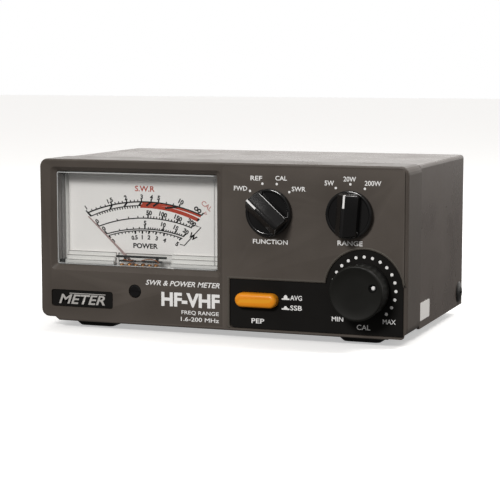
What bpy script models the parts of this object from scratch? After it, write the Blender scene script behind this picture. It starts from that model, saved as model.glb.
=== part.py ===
"""Bench SWR and power meter for amateur radio, with three rotary controls and one push button.

Every size below is in millimetres, in the case's own frame: X runs to the right as the front is seen,
Y runs back from the face of the control panel, and Z runs up from the lowest edge of the front bezel.
The mesh builders turn millimetres into metres, and the empty "case_frame" puts that frame on the
ground: Z = 0 under the feet, X = Y = 0 at the middle of the whole object.
"""

import math

import bmesh
import bpy
from mathutils import Matrix, Vector

MM = 0.001
GAP = 0.3  # clearance between pieces that touch on the real object
TUBE_STEPS = 3  # straight lengths between two points of a lead's route

# Case
BODY_WIDTH = 155.0
BODY_HEIGHT = 66.2
BEZEL_DEPTH = 20.5
BODY_DEPTH = 93.9
FOOT_DROP = 3.0  # how far the feet reach below the bezel
BEZEL_WALL = 2.6
BEZEL_CORNER = 3.2
BEZEL_EDGE = 0.7
SKIRT_RISE = 1.35  # the bezel's bottom edge is higher at its two ends
SKIRT_END_X = 71.5
SKIRT_FLAT_X = 69.7
METER_FACE_Y = 0.6  # the face on the meter's side lies behind the control panel
PANEL_BACK_Y = 2.8  # inner face of the bezel's front wall
LIP_WALL = 1.5
LIP_END_Y = 24.5

# Raised control panel on the right of the bezel
PANEL_LEFT = 2.6
PANEL_RIGHT = 76.1
PANEL_TOP = 64.8
PANEL_CORNER = 1.0

# Sheet-metal cover and chassis
SHEET = 1.0
COVER_HALF_WIDTH = 76.88
COVER_TOP = 65.73
COVER_BOTTOM = 1.43
COVER_BEND = 1.5
CHASSIS_HALF_WIDTH = 75.5
CHASSIS_FLOOR = 1.4
CHASSIS_FLANGE_TOP = 14.0
REAR_PANEL_Y = 92.6
REAR_PANEL_TOP = 64.4
TONGUE_FLOOR = 2.9  # the chassis floor steps up to lie on the bezel's bottom wall
TONGUE_START_Y = 8.0
COVER_SCREW_Y = 87.5
COVER_SCREW_Z = 7.3
BEZEL_SCREW_X = 30.0
BEZEL_SCREW_Y = 14.0

# Feet
FOOT_X = 56.8
FRONT_FOOT_Y = 14.0
REAR_FOOT_Y = 80.0
FOOT_TOP = (10.0, 6.0)  # half sizes in x and y
FOOT_BOTTOM = (7.4, 4.7)
PEG_RADIUS = 2.2

# Badge below the meter
BADGE_LOW = (-72.5, 6.1)
BADGE_HIGH = (-45.5, 12.5)
BADGE_POCKET_Y = 1.7

# Panel meter
METER_X = -35.4
PIVOT_Z = 19.1
WINDOW_HALF_WIDTH = 34.75
WINDOW_BOTTOM = 23.4
WINDOW_TOP = 60.95
WINDOW_FRONT_Y = 1.5
METER_HALF_WIDTH = 36.5
METER_BOTTOM = 5.0
METER_TOP = 62.3
LENS_WALL = 1.5
LENS_BACK_Y = 12.0
METER_BACK_Y = 34.0
METER_WALL = 1.6
DIAL_Y = 11.0
DIAL_THICKNESS = 0.6
NOTCH_HALF_WIDTH = 12.0
NOTCH_TOP = 27.6
DIAL_SCREW_OFFSET = 22.0
DIAL_SCREW_Z = 15.0
NEEDLE_REST_DEG = -47.0
NEEDLE_LENGTH = 34.0
ZERO_SCREW_Z = 13.6
ZERO_PIN_OFFSET = 0.6
TERMINAL_OFFSET = 14.0
TERMINAL_Z = 36.0
LAMP_Z = 51.0

# Rotary controls
FUNCTION_X = 22.24
FUNCTION_Z = 47.4
FUNCTION_REST_DEG = -48.0
RANGE_X = 54.75
RANGE_Z = 47.6
RANGE_REST_DEG = 4.0
CAL_X = 60.37
CAL_Z = 18.92
CAL_REST_DEG = 71.0
SKIRT_RADIUS = 9.2
BAR_SHOULDER_Y = -5.2
BAR_FRONT_Y = -9.8
CAL_KNOB_RADIUS = 10.6
CAL_KNOB_FRONT_Y = -11.2
SHAFT_RADIUS = 3.0
BUSHING_RADIUS = 4.5

# Lower inlay with the push button
INLAY_LEFT = 5.9
INLAY_RIGHT = 75.7
INLAY_BOTTOM = 1.6
INLAY_TOP = 20.55
INLAY_ARCH_RADIUS = 15.2
INLAY_FRONT_Y = 0.3
INLAY_THICKNESS = 0.5
INLAY_POCKET_Y = 1.1
BUTTON_X = 17.2
BUTTON_Z = 12.85
BUTTON_LENGTH = 17.2
BUTTON_HEIGHT = 5.6
BUTTON_FRONT_Y = -3.2
BUTTON_BACK_Y = 4.6

# Rear connectors and coupler
CONNECTOR_X = 24.0
CONNECTOR_Z = 34.0
CONNECTOR_END_Y = 109.0
BARREL_RADIUS = 7.9
COUPLER_HALF_WIDTH = 40.0
COUPLER_FRONT_Y = 62.0
COUPLER_BOTTOM = 20.0
COUPLER_TOP = 48.0
DC_X = 58.0
DC_Z = 16.0

FRONT_MOST_Y = CAL_KNOB_FRONT_Y
DEPTH_MIDDLE = (FRONT_MOST_Y + CONNECTOR_END_Y) / 2


# ---------------------------------------------------------------- scene, materials, mesh builders


def clear_scene():
    for obj in list(bpy.data.objects):
        bpy.data.objects.remove(obj, do_unlink=True)


def material(name, colour, roughness, metallic=0.0):
    made = bpy.data.materials.new(name)
    made.use_nodes = True
    shader = made.node_tree.nodes["Principled BSDF"]
    shader.inputs["Base Color"].default_value = (*colour, 1.0)
    shader.inputs["Roughness"].default_value = roughness
    shader.inputs["Metallic"].default_value = metallic
    made.diffuse_color = (*colour, 1.0)
    return made


def empty(name, location, parent=None, turn_about_y=0.0):
    made = bpy.data.objects.new(name, None)
    bpy.context.scene.collection.objects.link(made)
    made.parent = parent
    made.location = [value * MM for value in location]
    made.rotation_euler = (0.0, math.radians(turn_about_y), 0.0)
    return made


def add_box(bm, low, high):
    """A closed box between two corners."""
    size = [b - a for a, b in zip(low, high)]
    centre = [(a + b) / 2 * MM for a, b in zip(low, high)]
    scale = Matrix.Diagonal([value * MM for value in size] + [1.0])
    bmesh.ops.create_cube(bm, size=1.0, matrix=Matrix.Translation(centre) @ scale)


def add_prism(bm, outline, start, end, axis="Y"):
    """A closed prism: the outline lies across the axis, as (x, z) for Y, (y, z) for X and (x, y) for Z."""

    def place(point, along):
        a, b = point
        corner = {"X": (along, a, b), "Y": (a, along, b), "Z": (a, b, along)}[axis]
        return Vector(corner) * MM

    near = [bm.verts.new(place(point, start)) for point in outline]
    far = [bm.verts.new(place(point, end)) for point in outline]
    bm.faces.new(near)
    bm.faces.new(far)
    count = len(outline)
    for i in range(count):
        j = (i + 1) % count
        bm.faces.new((near[i], near[j], far[j], far[i]))


def add_loft(bm, sections, axis="Y"):
    """A closed body through sections (along, outline), whose outlines have the same number of points."""
    rings = []
    for along, outline in sections:
        corners = {"X": lambda a, b: (along, a, b), "Y": lambda a, b: (a, along, b), "Z": lambda a, b: (a, b, along)}
        rings.append([bm.verts.new(Vector(corners[axis](a, b)) * MM) for a, b in outline])
    count = len(rings[0])
    for first, second in zip(rings, rings[1:]):
        for i in range(count):
            j = (i + 1) % count
            bm.faces.new((first[i], first[j], second[j], second[i]))
    bm.faces.new(rings[0])
    bm.faces.new(rings[-1])


def add_turned(bm, profile, centre=(0.0, 0.0), axis="Y", steps=24):
    """A body of revolution. The profile is a list of (radius, along). It closes on the axis where it
    starts and ends with radius 0, and otherwise joins its last point to its first, as a tube does."""
    a0, b0 = centre

    def place(radius, along, angle):
        a = a0 + radius * math.sin(angle)
        b = b0 + radius * math.cos(angle)
        corner = {"X": (along, a, b), "Y": (a, along, b), "Z": (a, b, along)}[axis]
        return Vector(corner) * MM

    rings = []
    for radius, along in profile:
        if radius == 0.0:
            rings.append([bm.verts.new(place(0.0, along, 0.0))])
        else:
            turn = 2 * math.pi / steps
            rings.append([bm.verts.new(place(radius, along, turn * k)) for k in range(steps)])
    pairs = list(zip(rings, rings[1:]))
    if len(rings[0]) > 1:
        pairs.append((rings[-1], rings[0]))
    for first, second in pairs:
        for k in range(steps):
            m = (k + 1) % steps
            corners = [first[k % len(first)], first[m % len(first)]]
            corners += [second[m % len(second)], second[k % len(second)]]
            face = list(dict.fromkeys(corners))
            if len(face) > 2:
                bm.faces.new(face)


def add_cylinder(bm, radius, start, end, centre=(0.0, 0.0), axis="Y", steps=20):
    add_turned(bm, [(0.0, start), (radius, start), (radius, end), (0.0, end)], centre, axis, steps)


def arc(centre, radius, start_deg, end_deg, steps):
    """Points on an arc, with angles counted from the first axis towards the second."""
    points = []
    for k in range(steps + 1):
        angle = math.radians(start_deg + (end_deg - start_deg) * k / steps)
        points.append((centre[0] + radius * math.cos(angle), centre[1] + radius * math.sin(angle)))
    return points


def rounded_rectangle(low, high, radius, steps=5):
    (x0, z0), (x1, z1) = low, high
    outline = arc((x1 - radius, z0 + radius), radius, -90, 0, steps)
    outline += arc((x1 - radius, z1 - radius), radius, 0, 90, steps)
    outline += arc((x0 + radius, z1 - radius), radius, 90, 180, steps)
    outline += arc((x0 + radius, z0 + radius), radius, 180, 270, steps)
    return outline


def rectangle(x0, z0, x1, z1):
    return [(x0, z0), (x1, z0), (x1, z1), (x0, z1)]


def regular_polygon(centre, radius, sides, first_deg=0.0):
    return arc(centre, radius, first_deg, first_deg + 360 * (sides - 1) / sides, sides - 1)


def new_object(name, bm, parent, surface=None):
    """Turns a bmesh into an object. Faces are made to point out and shaded smooth between sharp edges."""
    bmesh.ops.recalc_face_normals(bm, faces=bm.faces)
    mesh = bpy.data.meshes.new(name)
    bm.to_mesh(mesh)
    bm.free()
    mesh.shade_smooth()
    mesh.set_sharp_from_angle(angle=math.radians(35))
    if surface:
        mesh.materials.append(surface)
    made = bpy.data.objects.new(name, mesh)
    bpy.context.scene.collection.objects.link(made)
    made.parent = parent
    return made


def helper(name, bm, parent):
    """A shape that only cuts or joins another: left out of the model itself."""
    made = new_object(name, bm, parent)
    made.hide_render = True
    made.display_type = "WIRE"
    return made


def boolean(obj, other, operation):
    step = obj.modifiers.new(f"{operation.lower()} {other.name}", "BOOLEAN")
    step.operation = operation
    step.object = other
    step.use_self = True


def bevel(obj, width, segments=2, above_deg=40.0):
    step = obj.modifiers.new("edges", "BEVEL")
    step.width = width * MM
    step.segments = segments
    step.limit_method = "ANGLE"
    step.angle_limit = math.radians(above_deg)


def cut(obj, fill, parent=None):
    """Cuts from the object the closed shapes that fill(bm) adds."""
    bm = bmesh.new()
    fill(bm)
    boolean(obj, helper(f"{obj.name}_cutter", bm, parent or obj.parent), "DIFFERENCE")


def join(obj, fill):
    """Joins to the object, as one body, the closed shapes that fill(bm) adds. They must overlap it."""
    bm = bmesh.new()
    fill(bm)
    boolean(obj, helper(f"{obj.name}_addition", bm, obj.parent), "UNION")


def solid(name, fill, parent, surface):
    """A piece whose mesh is the closed shape that fill(bm) adds."""
    bm = bmesh.new()
    fill(bm)
    return new_object(name, bm, parent, surface)


def tube(name, points, radius, parent, surface, sides=8):
    """A wire or lead: a round tube on a smooth curve through the points."""
    smooth = []
    for i in range(len(points) - 1):
        p0 = Vector(points[max(i - 1, 0)])
        p1 = Vector(points[i])
        p2 = Vector(points[i + 1])
        p3 = Vector(points[min(i + 2, len(points) - 1)])
        for k in range(TUBE_STEPS):
            t = k / TUBE_STEPS
            smooth.append(0.5 * (2 * p1 + (p2 - p0) * t + (2 * p0 - 5 * p1 + 4 * p2 - p3) * t * t
                                 + (3 * p1 - p0 - 3 * p2 + p3) * t * t * t))
    smooth.append(Vector(points[-1]))
    curve = bpy.data.curves.new(name, "CURVE")
    curve.dimensions = "3D"
    curve.bevel_depth = radius * MM
    curve.bevel_resolution = sides // 4
    curve.use_fill_caps = True
    spline = curve.splines.new("POLY")
    spline.points.add(len(smooth) - 1)
    for target, point in zip(spline.points, smooth):
        target.co = (*(point * MM), 1.0)
    curve.materials.append(surface)
    made = bpy.data.objects.new(name, curve)
    bpy.context.scene.collection.objects.link(made)
    made.parent = parent
    return made


# ---------------------------------------------------------------- outlines


def bezel_outline():
    """The bezel as seen from the front: rounded corners, and a bottom edge that drops between its ends."""
    side = BODY_WIDTH / 2
    r = BEZEL_CORNER
    outline = [(-SKIRT_FLAT_X, 0.0), (SKIRT_FLAT_X, 0.0), (SKIRT_END_X, SKIRT_RISE)]
    outline += arc((side - r, SKIRT_RISE + r), r, -90, 0, 5)
    outline += arc((side - r, BODY_HEIGHT - r), r, 0, 90, 5)
    outline += arc((r - side, BODY_HEIGHT - r), r, 90, 180, 5)
    outline += arc((r - side, SKIRT_RISE + r), r, 180, 270, 5)
    outline.append((-SKIRT_END_X, SKIRT_RISE))
    return outline


def inlay_outline(grow=0.0, right=INLAY_RIGHT):
    """The lower inlay: a strip whose top edge rises in an arch round the CAL knob."""
    radius = INLAY_ARCH_RADIUS + grow
    top = INLAY_TOP + grow
    start = math.degrees(math.asin((top - CAL_Z) / radius))
    outline = [(right, INLAY_BOTTOM - grow), (right, top)]
    outline += arc((CAL_X, CAL_Z), radius, start, 180 - start, 28)
    outline += [(INLAY_LEFT - grow, top)]
    outline += arc((INLAY_LEFT - grow + 1.5, INLAY_BOTTOM - grow + 1.5), 1.5, 180, 270, 4)
    return outline


def capsule(centre, length, height, steps=8):
    x, z = centre
    r = height / 2
    reach = length / 2 - r
    return arc((x + reach, z), r, -90, 90, steps) + arc((x - reach, z), r, 90, 270, steps)


# ---------------------------------------------------------------- case


def build_bezel(frame, paint):
    bezel = solid("front_bezel", lambda bm: add_prism(bm, bezel_outline(), METER_FACE_Y, BEZEL_DEPTH),
                  frame, paint)
    bevel(bezel, BEZEL_EDGE)

    def raised_panel(bm):
        outline = rounded_rectangle((PANEL_LEFT, 0.5), (PANEL_RIGHT, PANEL_TOP), PANEL_CORNER)
        add_prism(bm, outline, 0.0, METER_FACE_Y + 1.0)

    def locating_lip(bm):
        outer = CHASSIS_HALF_WIDTH
        inner = outer - LIP_WALL
        top = COVER_TOP - SHEET - GAP
        outline = [(-outer, 16.0), (-inner, 16.0), (-inner, top - LIP_WALL), (inner, top - LIP_WALL)]
        outline += [(inner, 16.0), (outer, 16.0), (outer, top), (-outer, top)]
        add_prism(bm, outline, BEZEL_DEPTH - 6.0, LIP_END_Y)

    def hollow(bm):
        side = BODY_WIDTH / 2 - BEZEL_WALL
        add_prism(bm, rounded_rectangle((-side, BEZEL_WALL), (side, BODY_HEIGHT - BEZEL_WALL), 1.5, 3),
                  PANEL_BACK_Y, BEZEL_DEPTH + 1.0)

    def window(bm):
        half = WINDOW_HALF_WIDTH + GAP
        low = WINDOW_BOTTOM - GAP
        high = WINDOW_TOP + GAP
        opening = rounded_rectangle((METER_X - half, low), (METER_X + half, high), 0.8, 3)
        wide = 2.2
        outer = rounded_rectangle((METER_X - half - wide, low - wide), (METER_X + half + wide, high + wide * 0.8),
                                  1.6, 3)
        add_loft(bm, [(METER_FACE_Y - 0.02, outer), (METER_FACE_Y + 1.5, opening)])
        add_prism(bm, opening, METER_FACE_Y + 1.0, PANEL_BACK_Y + 1.0)

    def pockets_and_holes(bm):
        add_prism(bm, inlay_outline(GAP, BODY_WIDTH / 2 - 0.4), -1.0, INLAY_POCKET_Y)
        badge = rounded_rectangle((BADGE_LOW[0] - GAP, BADGE_LOW[1] - GAP),
                                  (BADGE_HIGH[0] + GAP, BADGE_HIGH[1] + GAP), 1.0, 3)
        add_prism(bm, badge, -1.0, BADGE_POCKET_Y)
        for x, z in ((FUNCTION_X, FUNCTION_Z), (RANGE_X, RANGE_Z)):
            add_cylinder(bm, 7.4, -1.0, 1.6, (x, z), steps=20)
            add_cylinder(bm, BUSHING_RADIUS + GAP, 1.0, PANEL_BACK_Y + 1.0, (x, z), steps=20)
        add_cylinder(bm, BUSHING_RADIUS + GAP, 0.5, PANEL_BACK_Y + 1.0, (CAL_X, CAL_Z), steps=24)
        add_prism(bm, capsule((BUTTON_X, BUTTON_Z), BUTTON_LENGTH + 2 * GAP, BUTTON_HEIGHT + 2 * GAP),
                  0.5, PANEL_BACK_Y + 1.0)
        add_cylinder(bm, 2.75, -1.0, PANEL_BACK_Y + 1.0, (METER_X, ZERO_SCREW_Z), steps=24)

    def floor_holes(bm):
        for x in (-FOOT_X, FOOT_X):
            add_cylinder(bm, PEG_RADIUS + GAP, -1.0, BEZEL_WALL + 1.0, (x, FRONT_FOOT_Y), "Z", 16)
        for x in (-BEZEL_SCREW_X, BEZEL_SCREW_X):
            head = [(0.0, -1.0), (3.3, -1.0), (3.3, 0.2), (1.9, 1.9), (1.9, BEZEL_WALL + 1.0),
                    (0.0, BEZEL_WALL + 1.0)]
            add_turned(bm, head, (x, BEZEL_SCREW_Y), "Z", 20)

    join(bezel, raised_panel)
    cut(bezel, hollow)
    join(bezel, locating_lip)
    cut(bezel, window)
    cut(bezel, pockets_and_holes)
    cut(bezel, floor_holes)



def build_trim(frame, black, label_white):
    inlay = solid("control_inlay",
                  lambda bm: add_prism(bm, inlay_outline(), INLAY_FRONT_Y, INLAY_FRONT_Y + INLAY_THICKNESS),
                  frame, black)

    def holes(bm):
        add_cylinder(bm, 8.3, -1.0, 2.0, (CAL_X, CAL_Z))
        add_prism(bm, capsule((BUTTON_X, BUTTON_Z), BUTTON_LENGTH + 2 * GAP, BUTTON_HEIGHT + 2 * GAP),
                  -1.0, 2.0)

    cut(inlay, holes)
    solid("badge_plate", lambda bm: add_prism(bm, rounded_rectangle(BADGE_LOW, BADGE_HIGH, 0.8, 3), 1.0, 1.4),
          frame, black)
    label = rounded_rectangle((21.0, 4.6), (35.8, 11.6), 0.6, 3)
    solid("side_label", lambda bm: add_prism(bm, label, COVER_HALF_WIDTH + 0.1, COVER_HALF_WIDTH + 0.3, "X"),
          frame, label_white)


def build_cover(frame, paint):
    side = COVER_HALF_WIDTH
    r = COVER_BEND
    outline = [(-side, COVER_BOTTOM), (SHEET - side, COVER_BOTTOM)]
    outline += arc((r - side, COVER_TOP - r), r - SHEET, 180, 90, 4)
    outline += arc((side - r, COVER_TOP - r), r - SHEET, 90, 0, 4)
    outline += [(side - SHEET, COVER_BOTTOM), (side, COVER_BOTTOM)]
    outline += arc((side - r, COVER_TOP - r), r, 0, 90, 4)
    outline += arc((r - side, COVER_TOP - r), r, 90, 180, 4)
    cover = solid("top_cover", lambda bm: add_prism(bm, outline, BEZEL_DEPTH + GAP, BODY_DEPTH), frame, paint)
    cut(cover, lambda bm: add_cylinder(bm, 1.9, -90.0, 90.0, (COVER_SCREW_Y, COVER_SCREW_Z), "X", 16))
    for name, way in (("cover_screw_left", -1), ("cover_screw_right", 1)):
        head = COVER_HALF_WIDTH + 0.15
        profile = [(0.0, head + 1.2), (2.4, head + 1.0), (3.9, head + 0.55), (4.5, head), (1.5, head)]
        profile += [(1.5, head - 5.0), (0.0, head - 5.0)]
        turned = [(radius, way * along) for radius, along in profile]
        screw = solid(name, lambda bm: add_turned(bm, turned, (COVER_SCREW_Y, COVER_SCREW_Z), "X", 24),
                      frame, MATERIALS["black_steel"])

        def recess(bm):
            for half_y, half_z in ((2.0, 0.4), (0.4, 2.0)):
                low = (way * (head + 0.4), COVER_SCREW_Y - half_y, COVER_SCREW_Z - half_z)
                high = (way * (head + 2.0), COVER_SCREW_Y + half_y, COVER_SCREW_Z + half_z)
                add_box(bm, [min(a, b) for a, b in zip(low, high)], [max(a, b) for a, b in zip(low, high)])

        cut(screw, recess)


def build_chassis(frame, plate):
    half = CHASSIS_HALF_WIDTH
    floor = CHASSIS_FLOOR
    start = BEZEL_DEPTH + GAP
    rear = REAR_PANEL_Y + SHEET
    profile = [(TONGUE_START_Y, TONGUE_FLOOR), (start + 1.0, TONGUE_FLOOR), (start + 1.0, floor), (rear, floor)]
    profile += [(rear, REAR_PANEL_TOP), (rear - 9.0, REAR_PANEL_TOP), (rear - 9.0, REAR_PANEL_TOP - SHEET)]
    profile += [(REAR_PANEL_Y, REAR_PANEL_TOP - SHEET), (REAR_PANEL_Y, floor + SHEET)]
    profile += [(start + 2.0, floor + SHEET), (start + 2.0, TONGUE_FLOOR + SHEET)]
    profile += [(TONGUE_START_Y, TONGUE_FLOOR + SHEET)]
    tray = solid("chassis_tray", lambda bm: add_prism(bm, profile, -half, half, "X"), frame, plate)

    def side_flanges(bm):
        for way in (-1, 1):
            inner = way * (half - SHEET)
            add_box(bm, (min(inner, way * half), LIP_END_Y + 0.5, floor + 0.2),
                    (max(inner, way * half), rear - 0.2, CHASSIS_FLANGE_TOP))

    def trims(bm):
        for way in (-1, 1):
            near = way * (half - 1.6)
            far = way * (half + 2.0)
            add_box(bm, (min(near, far), TONGUE_START_Y - 1.0, 0.0), (max(near, far), LIP_END_Y + 0.4, 16.0))

    def holes(bm):
        for x in (-CONNECTOR_X, CONNECTOR_X):
            add_cylinder(bm, 6.9, REAR_PANEL_Y - 2.0, rear + 2.0, (x, CONNECTOR_Z), steps=24)
        add_cylinder(bm, 4.2, REAR_PANEL_Y - 2.0, rear + 2.0, (DC_X, DC_Z), steps=20)
        for x in (-FOOT_X, FOOT_X):
            add_cylinder(bm, PEG_RADIUS + GAP, 0.0, TONGUE_FLOOR + 3.0, (x, FRONT_FOOT_Y), "Z", 16)
            add_cylinder(bm, PEG_RADIUS + GAP, 0.0, TONGUE_FLOOR + 3.0, (x, REAR_FOOT_Y), "Z", 16)
        for x in (-BEZEL_SCREW_X, BEZEL_SCREW_X):
            add_cylinder(bm, 1.9, 0.0, TONGUE_FLOOR + 3.0, (x, BEZEL_SCREW_Y), "Z", 16)
        add_cylinder(bm, 1.9, -90.0, 90.0, (COVER_SCREW_Y, COVER_SCREW_Z), "X", 16)

    join(tray, side_flanges)
    cut(tray, trims)
    cut(tray, holes)


def build_feet(frame, rubber):
    spots = {"foot_front_left": (-FOOT_X, FRONT_FOOT_Y, 0.0), "foot_front_right": (FOOT_X, FRONT_FOOT_Y, 0.0)}
    spots["foot_rear_left"] = (-FOOT_X, REAR_FOOT_Y, CHASSIS_FLOOR)
    spots["foot_rear_right"] = (FOOT_X, REAR_FOOT_Y, CHASSIS_FLOOR)
    for name, (x, y, under) in spots.items():
        sections = []
        for along, (half_x, half_y) in ((-FOOT_DROP, FOOT_BOTTOM), (under - GAP, FOOT_TOP)):
            outline = rounded_rectangle((x - half_x, y - half_y), (x + half_x, y + half_y), 1.8, 4)
            sections.append((along, outline))
        foot = solid(name, lambda bm: add_loft(bm, sections, "Z"), frame, rubber)
        bevel(foot, 0.5)
        join(foot, lambda bm: add_cylinder(bm, PEG_RADIUS, under - 1.5, TONGUE_FLOOR + 2.0, (x, y), "Z", 16))


def build_bezel_screws(frame, steel):
    for name, x in (("bezel_screw_left", -BEZEL_SCREW_X), ("bezel_screw_right", BEZEL_SCREW_X)):
        profile = [(0.0, 0.1), (2.9, 0.1), (2.9, 0.35), (1.5, 1.75), (1.5, 4.7), (0.0, 4.7)]
        screw = solid(name, lambda bm: add_turned(bm, profile, (x, BEZEL_SCREW_Y), "Z", 20), frame, steel)

        def recess(bm):
            add_box(bm, (x - 1.5, BEZEL_SCREW_Y - 0.35, -0.5), (x + 1.5, BEZEL_SCREW_Y + 0.35, 0.9))
            add_box(bm, (x - 0.35, BEZEL_SCREW_Y - 1.5, -0.5), (x + 0.35, BEZEL_SCREW_Y + 1.5, 0.9))

        cut(screw, recess)


# ---------------------------------------------------------------- panel meter


def build_meter_case(frame, clear, moulding):
    left = METER_X - METER_HALF_WIDTH
    right = METER_X + METER_HALF_WIDTH
    window_left = METER_X - WINDOW_HALF_WIDTH
    window_right = METER_X + WINDOW_HALF_WIDTH
    shoulder = PANEL_BACK_Y + 0.4
    lens = solid("meter_lens_cover",
                 lambda bm: add_box(bm, (left, shoulder, METER_BOTTOM), (right, LENS_BACK_Y, METER_TOP)),
                 frame, clear)
    bevel(lens, 0.4, 1)

    def window_box(bm):
        outline = rounded_rectangle((window_left, WINDOW_BOTTOM), (window_right, WINDOW_TOP), 0.6, 3)
        add_prism(bm, outline, WINDOW_FRONT_Y, shoulder + 1.0)

    def inside(bm):
        add_box(bm, (left + LENS_WALL, shoulder + LENS_WALL, METER_BOTTOM + LENS_WALL),
                (right - LENS_WALL, LENS_BACK_Y + 1.0, METER_TOP - LENS_WALL))
        add_box(bm, (window_left + LENS_WALL, WINDOW_FRONT_Y + LENS_WALL, WINDOW_BOTTOM + LENS_WALL),
                (window_right - LENS_WALL, shoulder + LENS_WALL + 1.0, WINDOW_TOP - LENS_WALL))
        add_cylinder(bm, 1.8, shoulder - 1.0, shoulder + LENS_WALL + 1.0, (METER_X, ZERO_SCREW_Z), steps=20)

    join(lens, window_box)
    cut(lens, inside)

    front = LENS_BACK_Y + GAP
    base = solid("meter_base",
                 lambda bm: add_box(bm, (left, front, METER_BOTTOM), (right, METER_BACK_Y, METER_TOP)),
                 frame, moulding)

    def hollow(bm):
        add_box(bm, (left + METER_WALL, front - 1.0, METER_BOTTOM + METER_WALL),
                (right - METER_WALL, METER_BACK_Y - METER_WALL, METER_TOP - METER_WALL))

    def posts(bm):
        for way in (-1, 1):
            spot = (METER_X + way * DIAL_SCREW_OFFSET, DIAL_SCREW_Z)
            add_cylinder(bm, 3.0, DIAL_Y + DIAL_THICKNESS + GAP, METER_BACK_Y - 0.5, spot, steps=16)
        add_cylinder(bm, 3.5, 29.0, METER_BACK_Y - 0.5, (METER_X, PIVOT_Z), steps=20)

    def bores(bm):
        for way in (-1, 1):
            spot = (METER_X + way * DIAL_SCREW_OFFSET, DIAL_SCREW_Z)
            add_cylinder(bm, 1.5, DIAL_Y, 19.0, spot, steps=12)
            add_cylinder(bm, 1.9, 30.0, METER_BACK_Y + 1.0, (METER_X + way * TERMINAL_OFFSET, TERMINAL_Z), steps=16)
        add_cylinder(bm, 1.0, 28.0, 31.0, (METER_X, PIVOT_Z), steps=16)
        add_cylinder(bm, 3.3, 30.0, METER_BACK_Y + 1.0, (METER_X, LAMP_Z), steps=20)

    cut(base, hollow)
    join(base, posts)
    cut(base, bores)


def build_dial(frame, white, steel):
    half = METER_HALF_WIDTH - LENS_WALL - 0.4
    low = METER_BOTTOM + LENS_WALL + 0.6
    high = METER_TOP - LENS_WALL - 0.4
    notch_low = METER_X - NOTCH_HALF_WIDTH
    notch_high = METER_X + NOTCH_HALF_WIDTH
    outline = [(METER_X - half, low), (notch_low, low), (notch_low, NOTCH_TOP), (notch_high, NOTCH_TOP)]
    outline += [(notch_high, low), (METER_X + half, low), (METER_X + half, high), (METER_X - half, high)]
    dial = solid("meter_dial", lambda bm: add_prism(bm, outline, DIAL_Y, DIAL_Y + DIAL_THICKNESS), frame, white)
    spots = {name: (METER_X + way * DIAL_SCREW_OFFSET, DIAL_SCREW_Z)
             for name, way in (("dial_screw_left", -1), ("dial_screw_right", 1))}

    def holes(bm):
        for spot in spots.values():
            add_cylinder(bm, 1.5, DIAL_Y - 1.0, DIAL_Y + 2.0, spot, steps=12)

    cut(dial, holes)
    for name, spot in spots.items():
        top = DIAL_Y - GAP
        profile = [(0.0, top - 1.2), (1.6, top - 1.2), (2.2, top - 0.6), (2.2, top), (1.1, top), (1.1, 17.5)]
        screw = solid(name, lambda bm: add_turned(bm, profile + [(0.0, 17.5)], spot, steps=16), frame, steel)
        x, z = spot
        cut(screw, lambda bm: add_box(bm, (x - 3.0, top - 2.0, z - 0.25), (x + 3.0, top - 0.7, z + 0.25)))


def build_movement_frame(frame, steel, magnet, black, brass):
    centre = (METER_X, PIVOT_Z)
    solid("meter_yoke", lambda bm: add_turned(bm, [(10.5, 13.2), (10.5, 28.4), (7.8, 28.4), (7.8, 13.2)], centre),
          frame, steel)
    core = solid("magnet_core", lambda bm: add_cylinder(bm, 5.1, 14.4, 24.2, centre, steps=20), frame, magnet)
    join(core, lambda bm: add_box(bm, (METER_X - 1.2, 15.5, PIVOT_Z - 7.3), (METER_X + 1.2, 23.0, PIVOT_Z + 7.3)))

    bridge_low = 12.2
    outline = rounded_rectangle((METER_X - 11.2, bridge_low), (METER_X + 11.2, NOTCH_TOP - 0.2), 0.8, 3)
    bridge = solid("movement_bridge", lambda bm: add_prism(bm, outline, 6.8, 7.8), frame, black)

    def posts(bm):
        for way in (-1, 1):
            x = METER_X + way * 9.4
            add_box(bm, (x - 1.0, 7.2, PIVOT_Z - 1.6), (x + 1.0, 12.9, PIVOT_Z + 1.6))

    def openings(bm):
        add_prism(bm, rounded_rectangle((METER_X - 7.6, 22.4), (METER_X + 7.6, 26.4), 0.6, 3), 5.0, 9.0)
        add_cylinder(bm, 1.9, 5.0, 9.0, centre, steps=20)
        add_box(bm, (METER_X - 2.0, 5.0, bridge_low - 1.0), (METER_X + 2.0, 9.0, 15.4))

    join(bridge, posts)
    cut(bridge, openings)

    jewel = solid("jewel_screw", lambda bm: add_cylinder(bm, 1.5, 5.4, 8.2, centre, steps=20), frame, brass)
    cut(jewel, lambda bm: add_box(bm, (METER_X - 2.0, 5.0, PIVOT_Z - 0.25), (METER_X + 2.0, 5.9, PIVOT_Z + 0.25)))

    for name, way in (("meter_terminal_positive", 1), ("meter_terminal_negative", -1)):
        spot = (METER_X + way * TERMINAL_OFFSET, TERMINAL_Z)
        inner = METER_BACK_Y - METER_WALL - GAP
        outer = METER_BACK_Y + GAP
        profile = [(0.0, inner - 1.2), (2.6, inner - 1.2), (2.6, inner), (1.5, inner), (1.5, outer), (3.0, outer)]
        profile += [(3.0, outer + 2.2), (1.5, outer + 2.2), (1.5, outer + 6.0), (0.0, outer + 6.0)]
        solid(name, lambda bm: add_turned(bm, profile, spot, steps=16), frame, brass)

    lamp = [(0.0, 23.0), (1.5, 23.3), (2.3, 24.6), (2.3, 32.0), (2.9, 32.0), (2.9, METER_BACK_Y + GAP)]
    lamp += [(4.2, METER_BACK_Y + GAP), (4.2, METER_BACK_Y + 3.0), (0.0, METER_BACK_Y + 3.0)]
    solid("dial_lamp", lambda bm: add_turned(bm, lamp, (METER_X, LAMP_Z), steps=16), frame, MATERIALS["lamp"])


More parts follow.
